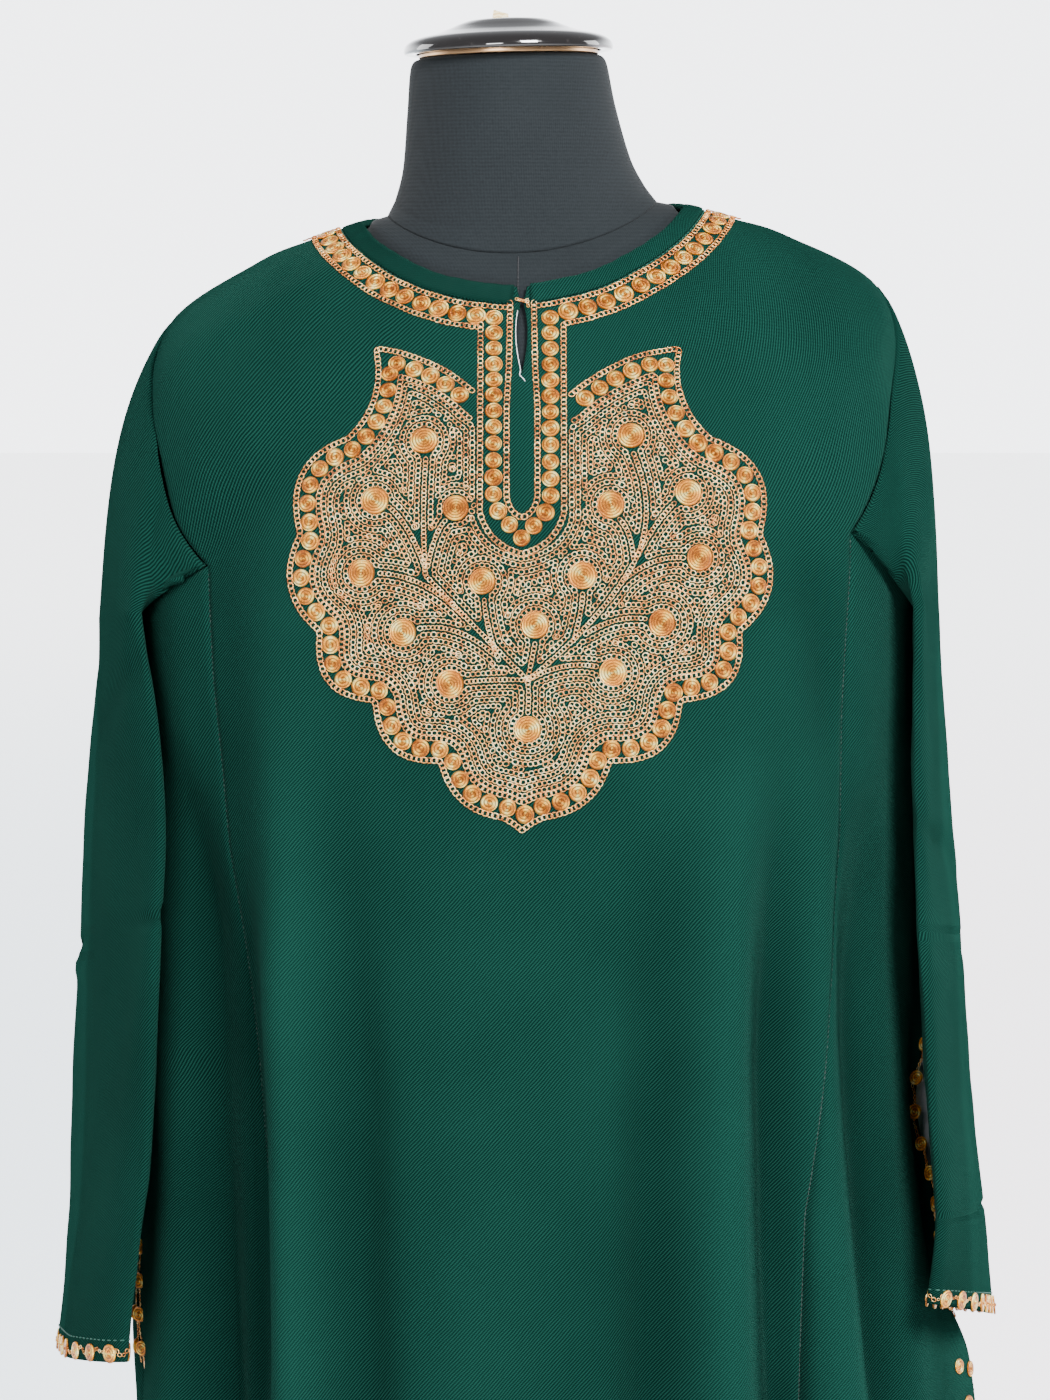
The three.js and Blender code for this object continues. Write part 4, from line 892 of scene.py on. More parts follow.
def round_template(profile, sides):
    """A round boss from rim to middle, with a polar UV: the turn in u and the radius in v."""
    rings = len(profile)
    points = [(r * math.sin(2 * math.pi * k / sides), -r * math.cos(2 * math.pi * k / sides), h)
              for r, h in profile for k in range(sides)]
    points += [(0, 0, profile[-1][1]), (0, 0, profile[0][1])]
    faces, uv = [], []
    for i in range(rings - 1):
        for k in range(sides):
            m = (k + 1) % sides
            faces.append((i * sides + k, i * sides + m, (i + 1) * sides + m, (i + 1) * sides + k))
            uv += [(k / sides, profile[i][0]), ((k + 1) / sides, profile[i][0]),
                   ((k + 1) / sides, profile[i + 1][0]), (k / sides, profile[i + 1][0])]
    top, bottom = len(points) - 2, len(points) - 1
    for k in range(sides):
        m = (k + 1) % sides
        faces.append(((rings - 1) * sides + k, (rings - 1) * sides + m, top))
        uv += [(k / sides, profile[-1][0]), ((k + 1) / sides, profile[-1][0]), ((k + 0.5) / sides, 0)]
        faces.append((m, k, bottom))
        uv += [((k + 1) / sides, 1), (k / sides, 1), ((k + 0.5) / sides, 1)]
    return np.array(points), faces, uv


COIN_PROFILE = [(1.0, 0.0), (1.0, 0.1), (0.94, 0.2), (0.6, 0.21), (0.24, 0.16), (0.14, 0.3), (0.06, 0.34)]
DISC_PROFILE = [(1.0, 0.0), (1.0, 0.08), (0.94, 0.19), (0.75, 0.26), (0.45, 0.31), (0.2, 0.33), (0.08, 0.335)]
COIN_SIDES, DISC_SIDES = 20, 40
coin_faces = round_template(COIN_PROFILE, COIN_SIDES)[1]
print("loop faces:", len(loop_template()[1]), "coin faces:", len(coin_faces))

# %% The sewing tree
def sewing_tree(name):
    """Puts a stitch on every point, turned by the point's own directions, and keeps a random tone on each."""
    group = bpy.data.node_groups.new(name, "GeometryNodeTree")
    inputs = {"Rows": "NodeSocketGeometry", "Stitch": "NodeSocketObject", "Unevenness": "NodeSocketFloat",
              "Seed": "NodeSocketInt", "Thread": "NodeSocketMaterial"}
    for label, kind in inputs.items():
        group.interface.new_socket(label, in_out="INPUT", socket_type=kind)
    group.interface.new_socket("Sewn", in_out="OUTPUT", socket_type="NodeSocketGeometry")
    t = Tree(group)
    given = {label: t.node("NodeGroupInput", out=i) for i, label in enumerate(inputs)}

    def named(label, kind="FLOAT_VECTOR"):
        return t.node("GeometryNodeInputNamedAttribute", {"data_type": kind}, {"Name": label})

    points = t.node("GeometryNodeMeshToPoints", {}, {"Mesh": given["Rows"]})
    turn = t.node("FunctionNodeAxesToRotation", {"primary_axis": "Z", "secondary_axis": "X"},
                  {"Primary Axis": named("out"), "Secondary Axis": named("along")})
    low, high = 1.0 - given["Unevenness"], 1.0 + given["Unevenness"]
    jitter = t.node("FunctionNodeRandomValue", {"data_type": "FLOAT"},
                    {"Min": low, "Max": high, "Seed": given["Seed"]}, out=1)
    stitch = t.node("GeometryNodeObjectInfo", {}, {"Object": given["Stitch"], "As Instance": True}, out=4)
    size = named("size", "FLOAT") * jitter
    placed = t.node("GeometryNodeInstanceOnPoints", {},
                    {"Points": points, "Instance": stitch, "Rotation": turn, "Scale": size})
    tone = t.node("FunctionNodeRandomValue", {"data_type": "FLOAT"}, {"Seed": given["Seed"] + 7.0}, out=1)
    kept = t.node("GeometryNodeStoreNamedAttribute", {"data_type": "FLOAT", "domain": "INSTANCE"},
                  {"Geometry": placed, "Name": "tone", "Value": tone})
    solid = t.node("GeometryNodeRealizeInstances", {}, {"Geometry": kept})
    dressed = t.node("GeometryNodeSetMaterial", {}, {"Geometry": solid, "Material": given["Thread"]})
    end = group.nodes.new("NodeGroupOutput")
    group.links.new(dressed.socket, end.inputs["Sewn"])
    return group


SEWING = sewing_tree("sew_along_rows")


def template_object(name, points, faces, uv, material):
    made = mesh_object(name, points, faces, material, uv, "polar")
    scene.collection.objects.unlink(made)
    return made


def sew(name, stitch, rows, material, unevenness=0.07, seed=1):
    mesh = bpy.data.meshes.new(name)
    mesh.from_pydata((rows["points"] * MM).tolist(), [], [])
    for label, kind, field in (("out", "FLOAT_VECTOR", "vector"), ("along", "FLOAT_VECTOR", "vector"),
                               ("size", "FLOAT", "value")):
        attribute = mesh.attributes.new(label, kind, "POINT")
        attribute.data.foreach_set(field, rows[label].astype(np.float32).ravel())
    made = bpy.data.objects.new(name, mesh)
    scene.collection.objects.link(made)
    modifier = made.modifiers.new("sewing", "NODES")
    modifier.node_group = SEWING
    values = {"Stitch": stitch, "Unevenness": unevenness, "Seed": seed, "Thread": material}
    for item in SEWING.interface.items_tree:
        if item.in_out == "INPUT" and item.name in values:
            modifier[item.identifier] = values[item.name]
    seen = bpy.context.evaluated_depsgraph_get()
    sewn = bpy.data.meshes.new_from_object(made.evaluated_get(seen))
    made.modifiers.clear()
    made.data = sewn
    sewn.name = name
    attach(made, "root")
    print(name, "stitches", len(rows["points"]), "faces", len(sewn.polygons))
    return made


# %% [markdown]
# The thread is metal foil wound on a core, and its tone differs from loop to loop: pale gold, copper and a
# little pink. Its glitter is painted highlights in the colour. The coins and discs are the same thread laid
# in a spiral, which shows as fine rings, with painted shade in the grooves between the turns and a painted
# highlight in a bright wedge across each.

# %% Metal thread
LEAF_PALE_FROM, LEAF_PALE_FULL = 1.30, 1.10
COIN_TURNS, DISC_TURNS = 2.6, 4.6
THREAD_STOPS = [
    (0.0, (0.17, 0.035, 0.007)),
    (0.25, (0.60, 0.17, 0.03)),
    (0.5, (0.96, 0.40, 0.085)),
    (0.75, (1.0, 0.65, 0.23)),
    (1.0, (1.0, 0.93, 0.62)),
]
COIN_STOPS = [
    (0.0, (0.28, 0.06, 0.003)),
    (0.3, (0.66, 0.21, 0.012)),
    (0.6, (1.0, 0.44, 0.035)),
    (0.82, (1.0, 0.68, 0.11)),
    (1.0, (1.0, 0.92, 0.40)),
]


def gold_thread(name, shift=0.0):
    """Loops of thread; shift makes the whole row darker or lighter, and the leaf's foot is the palest."""
    s = Shade(name, metallic=0.38)
    s.put(s.surface, {"Specular IOR Level": 0.5})
    place = s.place()
    tone = s.node("ShaderNodeAttribute", {"attribute_name": "tone"}, out=2)
    # Painted highlights: where this noise is high the colour is painted brighter, as glints; it also varies
    # the roughness.
    painted_glint_and_roughness = s.noise(place, 1300.0, 2.0)
    lower = s.parts(place)[2].soft(LEAF_PALE_FROM, LEAF_PALE_FULL)
    share = tone * 0.62 + painted_glint_and_roughness.soft(0.34, 0.66) * 0.62 + lower * 0.12 + (shift - 0.1)
    colour = s.ramp(share, THREAD_STOPS)
    s.put(s.surface, {"Roughness": 0.5 - painted_glint_and_roughness * 0.3})
    return s.finish(colour, s.noise(place, 2600.0, 1.0), depth=0.0003, strength=0.6)


def spiral_gold(name, turns):
    """A coin or disc: the thread laid round so many turns, with a groove between them."""
    s = Shade(name, metallic=0.5)
    polar = s.node("ShaderNodeUVMap", {"uv_map": "polar"})
    u, v, _ = s.parts(polar)
    tone = s.node("ShaderNodeAttribute", {"attribute_name": "tone"}, out=2)
    rings = ((v * turns + u) * (2 * math.pi)).sine() * 0.5 + 0.5
    # Painted highlight: a bright wedge across the coin, turned by its tone.
    painted_wedge_highlight = ((u * 2.0 + tone * 3.0) * (2 * math.pi)).sine() * 0.5 + 0.5
    twist = ((u * 60.0 + v * turns * 4.0) * (2 * math.pi)).sine() * 0.5 + 0.5
    grain = s.noise(s.place(), 1500.0, 2.0)
    laid = s.ramp(tone * 0.32 + painted_wedge_highlight * painted_wedge_highlight * 0.62 + grain.soft(0.34, 0.7) * 0.4 - 0.1, COIN_STOPS)
    # Painted shade: the colour is darkened in the grooves between the turns.
    painted_groove_shade = rings.soft(0.45, 0.0)
    colour = s.mix(painted_groove_shade * 0.85, laid, (0.14, 0.045, 0.008))
    s.put(s.surface, {"Roughness": grain * 0.25 + 0.22})
    return s.finish(colour, rings + twist * 0.25 + grain * 0.3, depth=0.0006, strength=0.9)


THREAD = gold_thread("metal_thread")
BORDER_THREAD = gold_thread("border_metal_thread", shift=-0.12)
COIN_GOLD = spiral_gold("spiral_coin_thread", COIN_TURNS)
DISC_GOLD = spiral_gold("spiral_disc_thread", DISC_TURNS)
LOOP = template_object("loop_template", *loop_template(), THREAD)
COIN = template_object("coin_template", *round_template(COIN_PROFILE, COIN_SIDES), COIN_GOLD)
DISC = template_object("disc_template", *round_template(DISC_PROFILE, DISC_SIDES), DISC_GOLD)
print("gold finishes:", [m.name for m in (THREAD, BORDER_THREAD, COIN_GOLD, DISC_GOLD)])

# %% [markdown]
# ## Rows on the chest
# The pattern is drawn flat, in the x and z of the front view. Each of its points is then carried to the
# cloth: the angle and row whose surface point has that x and z are found by a few Newton steps.

# %% From the flat pattern to the cloth
FIRST_GUESS = {"mm_per_degree": 2.9, "minus_z": [-1360, -1232, -1160, -1060], "row": [0, 6, 7, 8]}
NEWTON_STEPS, SMALL_TURN, SMALL_DROP = 9, 0.2, 0.02


def on_chest(x, z):
    """The angle and row of the cloth points that stand at x and z in the front view."""
    x, z = np.asarray(x, float), np.asarray(z, float)
    degrees = x / FIRST_GUESS["mm_per_degree"]
    row = np.interp(-z, FIRST_GUESS["minus_z"], FIRST_GUESS["row"])
    for _ in range(NEWTON_STEPS):
        at = body_point(degrees, row)
        by_degree = (body_point(degrees + SMALL_TURN, row) - at) / SMALL_TURN
        by_row = (body_point(degrees, row + SMALL_DROP) - at) / SMALL_DROP
        ex, ez = x - at[..., 0], z - at[..., 2]
        det = by_degree[..., 0] * by_row[..., 2] - by_degree[..., 2] * by_row[..., 0]
        degrees = degrees + np.clip((ex * by_row[..., 2] - ez * by_row[..., 0]) / det, -6, 6)
        row_step = np.clip((ez * by_degree[..., 0] - ex * by_degree[..., 2]) / det, -0.7, 0.7)
        row = np.clip(row + row_step, 0, HEM_ROW - 0.1)
    return degrees, row


def stitches_along(degrees, row, pitch, size, rise=0.35, surface=cloth_surface):
    """Points spaced evenly along a path on the cloth, with the directions out of it and along the path."""
    path, _ = surface(degrees, row)
    travelled = np.concatenate([[0], np.cumsum(np.linalg.norm(np.diff(path, axis=0), axis=1))])
    count = max(1, round(travelled[-1] / pitch))
    if travelled[-1] < pitch * 0.6:
        return None
    spots = (np.arange(count) + 0.5) * travelled[-1] / count
    ahead, behind = np.minimum(spots + 0.4, travelled[-1]), np.maximum(spots - 0.4, 0)

    def at(reached):
        return surface(np.interp(reached, travelled, degrees), np.interp(reached, travelled, row))

    points, out = at(spots)
    along = unit(at(ahead)[0] - at(behind)[0])
    return {"points": points + out * rise, "out": out, "along": along, "size": np.full(count, float(size))}


def pattern_row(line, pitch, size, rise=0.35, closed=False):
    """A row of stitches along a line that is drawn in the front view."""
    line = np.asarray(line, float)
    if closed:
        line = np.concatenate([line, line[:1]])
    lengths = np.concatenate([[0], np.cumsum(np.linalg.norm(np.diff(line, axis=0), axis=1))])
    fine = np.linspace(0, lengths[-1], max(3, int(lengths[-1] / 1.2)))
    degrees, row = on_chest(np.interp(fine, lengths, line[:, 0]), np.interp(fine, lengths, line[:, 1]))
    return stitches_along(degrees, row, pitch, size, rise)


def together(rows):
    rows = [r for r in rows if r is not None]
    return {key: np.concatenate([r[key] for r in rows]) for key in rows[0]}


print("the middle of the chest in degrees and row:", [float(v) for v in on_chest(0.0, 1200.0)])

# %% The leaf's outline and the placket
PLACKET = {"half": 24, "foot": 1219, "shoulder": 1238, "tongue_half": 7, "tongue_foot": 1241, "top": 1356}
LEAF_TIP, LEAF_INNER_TOP = 1069, 1302
LEAF_SHARE = {-1: 0.95, 1: 1.02}
LOBE = ("x", "up", "swell")
LOBE_ROWS = [
    (13, 9, -1.2),
    (47, 39, 7.5),
    (84, 71, 12),
    (115, 108, 13),
    (126, 160, 11),
    (99, 212, 14),
    (86, 260, -8),
]
LOBES = [dict(zip(LOBE, row)) for row in LOBE_ROWS]
HORN_CONTROL = (50, 258)


def bend(start, control, end, steps=14):
    t = np.linspace(0, 1, steps + 1)[1:, None]
    start, control, end = (np.array(v, float) for v in (start, control, end))
    return (1 - t) ** 2 * start + 2 * t * (1 - t) * control + t * t * end


def leaf_side(side):
    corners = [(0.0, 0.0)] + [(lobe["x"], lobe["up"]) for lobe in LOBES]
    edge = [np.zeros((1, 2))]
    for p, q, lobe in zip(corners, corners[1:], LOBES):
        length = math.hypot(q[0] - p[0], q[1] - p[1])
        control = ((p[0] + q[0]) / 2 + 2 * lobe["swell"] * (q[1] - p[1]) / length,
                   (p[1] + q[1]) / 2 - 2 * lobe["swell"] * (q[0] - p[0]) / length)
        edge.append(bend(p, control, q))
    edge.append(bend(corners[-1], HORN_CONTROL, (PLACKET["half"] - 2, LEAF_INNER_TOP - LEAF_TIP)))
    edge = np.concatenate(edge)
    return np.stack([side * LEAF_SHARE[side] * edge[:, 0], LEAF_TIP + edge[:, 1]], -1)


def placket_outline(half, foot, shoulder, top):
    knee = shoulder + 0.8 * (foot - shoulder)
    left = bend((-half, shoulder), (-half * 0.8, knee), (0, foot))
    right = bend((0, foot), (half * 0.8, knee), (half, shoulder))
    return np.concatenate([[(-half, top), (-half, shoulder)], left, right, [(half, top)]])


LEAF_EDGE = np.concatenate([leaf_side(1), leaf_side(-1)[:0:-1]])
PLACKET_EDGE = placket_outline(PLACKET["half"], PLACKET["foot"], PLACKET["shoulder"], PLACKET["top"])
print("leaf width in mm:", float(np.ptp(LEAF_EDGE[:, 0]).round(1)))

# %% [markdown]
# A map of distances is laid over the leaf, one value to each millimetre. A row of stitches is then simply a
# level line of that map, as a contour line joins equal heights. The borders follow the leaf's edge. Inside,
# the rows keep their distance from the edge or from the discs and stems, whichever is nearer.

# %% Distance maps
GRID_X, GRID_Z = np.arange(-135, 136.0), np.arange(1060, 1345.0)
MAP_X, MAP_Z = np.meshgrid(GRID_X, GRID_Z)


def distance_to_line(line, closed=False):
    line = np.asarray(line, float)
    ends = np.roll(line, -1, axis=0) if closed else line[1:]
    nearest = np.full(MAP_X.shape, 1e9)
    for (ax, az), (bx, bz) in zip(line, ends):
        dx, dz = bx - ax, bz - az
        t = np.clip(((MAP_X - ax) * dx + (MAP_Z - az) * dz) / max(dx * dx + dz * dz, 1e-9), 0, 1)
        nearest = np.minimum(nearest, (MAP_X - ax - t * dx) ** 2 + (MAP_Z - az - t * dz) ** 2)
    return np.sqrt(nearest)


def inside(line):
    within = np.zeros(MAP_X.shape, bool)
    for (ax, az), (bx, bz) in zip(line, np.roll(line, -1, axis=0)):
        crosses = (az > MAP_Z) != (bz > MAP_Z)
        within ^= crosses & (MAP_X < ax + (MAP_Z - az) * (bx - ax) / (bz - az if bz != az else 1e-9))
    return within


def depth_in(line):
    return distance_to_line(line, closed=True) * np.where(inside(line), 1, -1)


def level_lines(field, level):
    """The lines where a map crosses a level, each as points in x and z and whether it closes on itself."""
    above = field > level
    place = {}
    links = {}

    def crossing(kind, i, j):
        """The point where the level crosses one side of a cell, or None where it doesn't."""
        i2, j2 = (i, j + 1) if kind == 0 else (i + 1, j)
        if above[i, j] == above[i2, j2]:
            return None
        t = (level - field[i, j]) / (field[i2, j2] - field[i, j])
        place[kind, i, j] = (GRID_X[j] + t * (j2 - j), GRID_Z[i] + t * (i2 - i))
        return kind, i, j

    corners = above[:-1, :-1].astype(int) + above[1:, :-1] + above[:-1, 1:] + above[1:, 1:]
    for i, j in np.argwhere((corners > 0) & (corners < 4)):
        sides = [crossing(0, i, j), crossing(1, i, j + 1), crossing(0, i + 1, j), crossing(1, i, j)]
        found = [key for key in sides if key is not None]
        for a, b in zip(found[::2], found[1::2]):
            links.setdefault(a, []).append(b)
            links.setdefault(b, []).append(a)
    lines = []
    starts = [key for key, near in links.items() if len(near) == 1] + list(links)
    used = set()
    for start in starts:
        if start in used:
            continue
        chain, here = [start], start
        used.add(start)
        while True:
            onward = [key for key in links[here] if key not in used]
            if not onward:
                break
            here = onward[0]
            used.add(here)
            chain.append(here)
        closed = len(chain) > 2 and start in links[here]
        lines.append((np.array([place[key] for key in chain]), closed))
    return lines


def smoothed(line, closed, times=3):
    for _ in range(times):
        if closed:
            line = (np.roll(line, 1, axis=0) + 2 * line + np.roll(line, -1, axis=0)) / 4
        elif len(line) > 2:
            line = np.concatenate([line[:1], (line[:-2] + 2 * line[1:-1] + line[2:]) / 4, line[-1:]])
    return line


def value_at(field, points):
    j = np.clip((points[:, 0] - GRID_X[0]).round().astype(int), 0, len(GRID_X) - 1)
    i = np.clip((points[:, 1] - GRID_Z[0]).round().astype(int), 0, len(GRID_Z) - 1)
    return field[i, j]


def kept_runs(line, closed, keep):
    """The stretches of a line where keep holds."""
    if keep.all():
        return [np.concatenate([line, line[:1]]) if closed else line]
    if closed:
        first = int(np.argmin(keep))
        line, keep = np.roll(line, -first, axis=0), np.roll(keep, -first)
    edges = np.flatnonzero(np.diff(np.concatenate([[0], keep.astype(int), [0]])))
    return [line[a:b] for a, b in zip(edges[::2], edges[1::2]) if b - a > 3]


IN_LEAF = depth_in(LEAF_EDGE)
OFF_PLACKET = -depth_in(PLACKET_EDGE)
print("deepest point of the leaf in mm:", float(IN_LEAF.max().round(1)))

# %% [markdown]
# ## Discs and stems
# Sixteen raised discs stand on stems that branch from one root low on the leaf, like buds on a spray. A
# stem is a row of chain with a narrow bare slit beside it.

# %% Discs and stems
DISC_RADIUS = 7.1
DISC_AT = [
    (-52, 1278), (-78, 1247), (-35, 1243), (-85, 1209), (-21, 1205), (-63, 1178), (-38, 1151), (7, 1182),
    (3, 1127), (58, 1281), (88, 1251), (47, 1245), (94, 1217), (32, 1208), (74, 1183), (48, 1157),
]
ROOT = (3, 1153)
STEMS = [
    (ROOT, (-24, 1180), (-51, 1208)), ((-51, 1208), (-53, 1240), (-51, 1269)),
    ((-51, 1212), (-60, 1236), (-71, 1244)), ((-50, 1212), (-46, 1232), (-40, 1237)),
    ((-30, 1186), (-50, 1208), (-76, 1209)), ((-14, 1166), (-34, 1184), (-55, 1180)),
    ((-12, 1163), (-19, 1180), (-20, 1196)), (ROOT, (-14, 1154), (-30, 1152)),
    (ROOT, (4, 1143), (3, 1135)), (ROOT, (5, 1163), (7, 1173)),
    (ROOT, (42, 1184), (60, 1216)), ((60, 1216), (72, 1242), (59, 1272)),
    ((61, 1218), (70, 1236), (81, 1246)), ((59, 1216), (58, 1232), (51, 1238)),
    ((54, 1206), (70, 1219), (86, 1217)), ((27, 1173), (32, 1190), (32, 1199)),
    ((33, 1177), (50, 1188), (66, 1185)), (ROOT, (22, 1164), (40, 1160)),
]
STEM_LINES = [np.concatenate([[start], bend(start, control, end, 10)]) for start, control, end in STEMS]
from_discs = np.min([np.hypot(MAP_X - x, MAP_Z - z) for x, z in DISC_AT], axis=0) - DISC_RADIUS
from_stems = np.min([distance_to_line(line) for line in STEM_LINES], axis=0)
print("stems:", len(STEMS), "discs:", len(DISC_AT))

# %% Leaf stitches
PITCH, LOOP_SIZE = 2.75, 3.15
BORDER_LOOP = LOOP_SIZE * 1.15
BORDER = {"outer": 2.2, "coins": 8.2, "inner": 14.0}
FILL_FROM, FILL_STEP, FILL_ROWS, BARE_FROM = 2.2, 3.35, 12, 1.7
LEAF_COINS = {"pitch": 10.2, "size": 4.85, "rise": 0.2}
COVERED = 2.3
coin_rows, leaf_rows, fill_rows = [], [], []


def border_runs(level, clear):
    for line, closed in level_lines(IN_LEAF, level):
        line = smoothed(line, closed)
        for run in kept_runs(line, closed, value_at(OFF_PLACKET, line) > clear):
            if len(run) > 8:
                yield run


for run in border_runs(BORDER["outer"], 1.6):
    leaf_rows.append(pattern_row(run, PITCH, BORDER_LOOP))
for run in border_runs(BORDER["inner"], 2.0):
    leaf_rows.append(pattern_row(run, PITCH, LOOP_SIZE * 1.1))
for run in border_runs(BORDER["coins"], 5.0):
    coin_rows.append(pattern_row(run, **LEAF_COINS))
edge_depth = np.minimum(IN_LEAF - BORDER["inner"] - 0.6, OFF_PLACKET - 0.2)
bud_depth = np.minimum(from_discs + 0.6, from_stems - 1.5)
fill = np.minimum(edge_depth, bud_depth)
for k in range(FILL_ROWS):
    for line, closed in level_lines(fill, FILL_FROM + FILL_STEP * k):
        line = smoothed(line, closed)
        if len(line) > 6:
            fill_rows.append(pattern_row(line, PITCH, LOOP_SIZE, closed=closed))
for line in STEM_LINES:
    fill_rows.append(pattern_row(line, PITCH * 0.8, LOOP_SIZE * 0.9, rise=0.7))


def gap_loops(rows, bare):
    """Single loops, turned at random, for the places between the rows that are still bare."""
    bare = bare.copy()
    near = np.hypot(*np.meshgrid(np.arange(-2, 3), np.arange(-2, 3))) < COVERED
    spots = []

    def cover(i, j):
        bare[i - 2:i + 3, j - 2:j + 3] &= ~near

    for x, z in together(rows)["points"][:, [0, 2]]:
        cover(int(round(z - GRID_Z[0])), int(round(x - GRID_X[0])))
    for i, j in np.argwhere(bare):
        if bare[i, j]:
            spots.append((GRID_X[j] + 0.5, GRID_Z[i] + 0.5))
            cover(i, j)
    points, out = cloth_surface(*on_chest(*np.array(spots).T))
    turn = np.random.default_rng(11).uniform(0, 2 * math.pi, len(points))
    return {"points": points + out * 0.25, "out": out, "size": np.full(len(points), LOOP_SIZE * 0.95),
            "along": np.stack([np.cos(turn), 0 * turn, np.sin(turn)], -1)}


fill_rows.append(gap_loops(fill_rows, fill > BARE_FROM))
print("loops in the gaps:", len(fill_rows[-1]["points"]))


def single_spots(degrees, row, size, along):
    """Coins or discs placed one by one, each on the cloth at its own angle and row."""
    points, out = cloth_surface(degrees, row)
    count = len(points)
    return {"points": points + out * 0.3, "out": out, "size": np.full(count, float(size)),
            "along": np.tile(along, (count, 1))}


disc_rows = single_spots(*on_chest(*np.array(DISC_AT, float).T), DISC_RADIUS, (1.0, 0.0, 0.0))
print("fill rows:", len(fill_rows))

# %% [markdown]
# ## Placket and neck band
# Two rows of chain with coins between them run round the neck, turn down beside the slit and meet below its
# bare tongue in a point.

# %% Placket and band stitches
BAND = {"inner": 13.0, "coins": 20.0, "outer": 27.0}
OUTER_U = {"half": 22.3, "foot": 1219.5, "shoulder": 1241}
TONGUE = {"half": 8.2, "foot": 1238.5, "shoulder": 1249}
TONGUE_TOP = 1312
SHOULDER_SEAM_AT = 88.4


def neck_path(side, distance, start_x):
    """The line on the cloth that keeps one distance from the neckline, beyond start_x from the middle."""
    degrees = np.linspace(1, 88.6, 160) * side
    fine = np.linspace(0, 3, 90)
    lines = body_point(degrees[:, None], fine[None, :])
    steps = np.linalg.norm(np.diff(lines, axis=1), axis=-1)
    travelled = np.concatenate([np.zeros((len(steps), 1)), np.cumsum(steps, axis=1)], 1)
    row = np.array([np.interp(distance, t, fine) for t in travelled])
    beyond = np.abs(body_point(degrees, row)[:, 0]) > start_x
    return degrees[beyond], row[beyond]


def band_height(distance):
    return float(body_point(*[v[:1] for v in neck_path(1, distance, 18)])[0, 2])


placket_rows = []
tops = {key: band_height(BAND[key]) for key in BAND}
placket_rows.append(pattern_row(placket_outline(**OUTER_U, top=tops["outer"] + 1), PITCH, BORDER_LOOP))
placket_rows.append(pattern_row(placket_outline(**TONGUE, top=TONGUE_TOP)[1:-1], PITCH, BORDER_LOOP))
for side in (-1, 1):
    beside_slit = [(8.2, TONGUE["shoulder"]), (8.2, 1296), (7.0, 1318), (6.4, tops["inner"] + 1)]
    placket_rows.append(pattern_row([(side * x, z) for x, z in beside_slit], PITCH, BORDER_LOOP))
    for distance, start in ((BAND["inner"], 7.0), (BAND["outer"], 22.5)):
        placket_rows.append(stitches_along(*neck_path(side, distance, start), PITCH, BORDER_LOOP))
    coin_rows.append(stitches_along(*neck_path(side, BAND["coins"], 19.0), 10.9, 5.3, rise=0.2))
    closing = np.linspace(1.15, 2.1, 12)
    placket_rows.append(stitches_along(np.full(12, SHOULDER_SEAM_AT * side), closing, PITCH, BORDER_LOOP))
half_strip = [(15.2, tops["coins"] + 2), (15.2, 1250), (12.5, 1241), (0, 1227.5)]
coin_strip = [(-x, z) for x, z in half_strip] + half_strip[-2::-1]
coin_rows.append(pattern_row(coin_strip, 9.6, 4.7, rise=0.2))

sew("leaf_borders", LOOP, together(leaf_rows + placket_rows), BORDER_THREAD, seed=3)
half = len(fill_rows) // 2
sew("leaf_filling_outer_rows", LOOP, together(fill_rows[:half]), THREAD, unevenness=0.12, seed=5)
sew("leaf_filling_inner_rows", LOOP, together(fill_rows[half:]), THREAD, unevenness=0.12, seed=8)
coins = sew("coins", COIN, together(coin_rows), COIN_GOLD, unevenness=0.05, seed=13)
sew("raised_discs", DISC, disc_rows, DISC_GOLD, unevenness=0.03, seed=21)
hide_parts("chest_leaf", "placket_band", "left_neck_band", "right_neck_band")

# %% [markdown]
# ## Pocket linings
# A light lining is stitched behind both edges of each pocket mouth and sags inwards between them. Only the
# part that shows in the mouth is made.

# %% Pocket linings
LINING, LINING_FOLD = 1.0, 0.7
LINING_SEAT = CLOTH + SEAM_GAP + 1.2
LINING_TOP, LINING_BOTTOM = POCKET["top"] + 20, POCKET["bottom"] + 4
DISH = {"left": 6, "right": 7}
NEAR, FAR = 0.88, 0.7


def lining_point(side, v, row):
    """A line down the lining: v goes from -1 behind the front gore to 1 behind the back gore."""
    part = "front" if v < 0 else "back"

    def on_gore(u):
        degrees = gore_angle(side, part, u, row)
        return body_point(degrees, row), body_normal(degrees, row)

    if abs(v) >= LINING_FOLD:
        p, n = on_gore(NEAR + (FAR - NEAR) * (abs(v) - LINING_FOLD) / (1 - LINING_FOLD))
        return p - n * LINING_SEAT
    inwards = 1 - abs(v) / LINING_FOLD
    lip = on_gore(1.0)[0]
    if v == 0:
        lip = (lip + body_point(gore_angle(side, "front", 1.0, row), row)) / 2
    mouth = np.clip((LINING_TOP - lip[:, 2]) / (POCKET["gape_top"] - POCKET["gape_bottom"] + 70), 0, 1)
    depth = LINING_SEAT + DISH[side] * (1 - (1 - inwards) ** 2) * np.sin(math.pi * mouth)
    p, n = on_gore(NEAR)
    return p * (1 - inwards) + lip * inwards - n * depth[:, None]


def pocket_lining(side):
    rows = finer_rows((UNDERARM_ROW, HEM_ROW), LINING_SPACING)
    height = smooth_column(BODY["z_side"], rows)
    rows = rows[(height < LINING_TOP) & (height > LINING_BOTTOM)]
    columns = np.linspace(-1, 1, 33)
    if side == "left":
        columns = columns[::-1]
    points = np.stack([lining_point(side, v, rows) for v in columns], 1)
    made = wall(f"{side}_pocket_lining_cloth", [grid(points)], LINING, LINING_COTTON)
    hang(made, f"{side}_pocket_lining", *LINING_CUT, on="front_cloth")


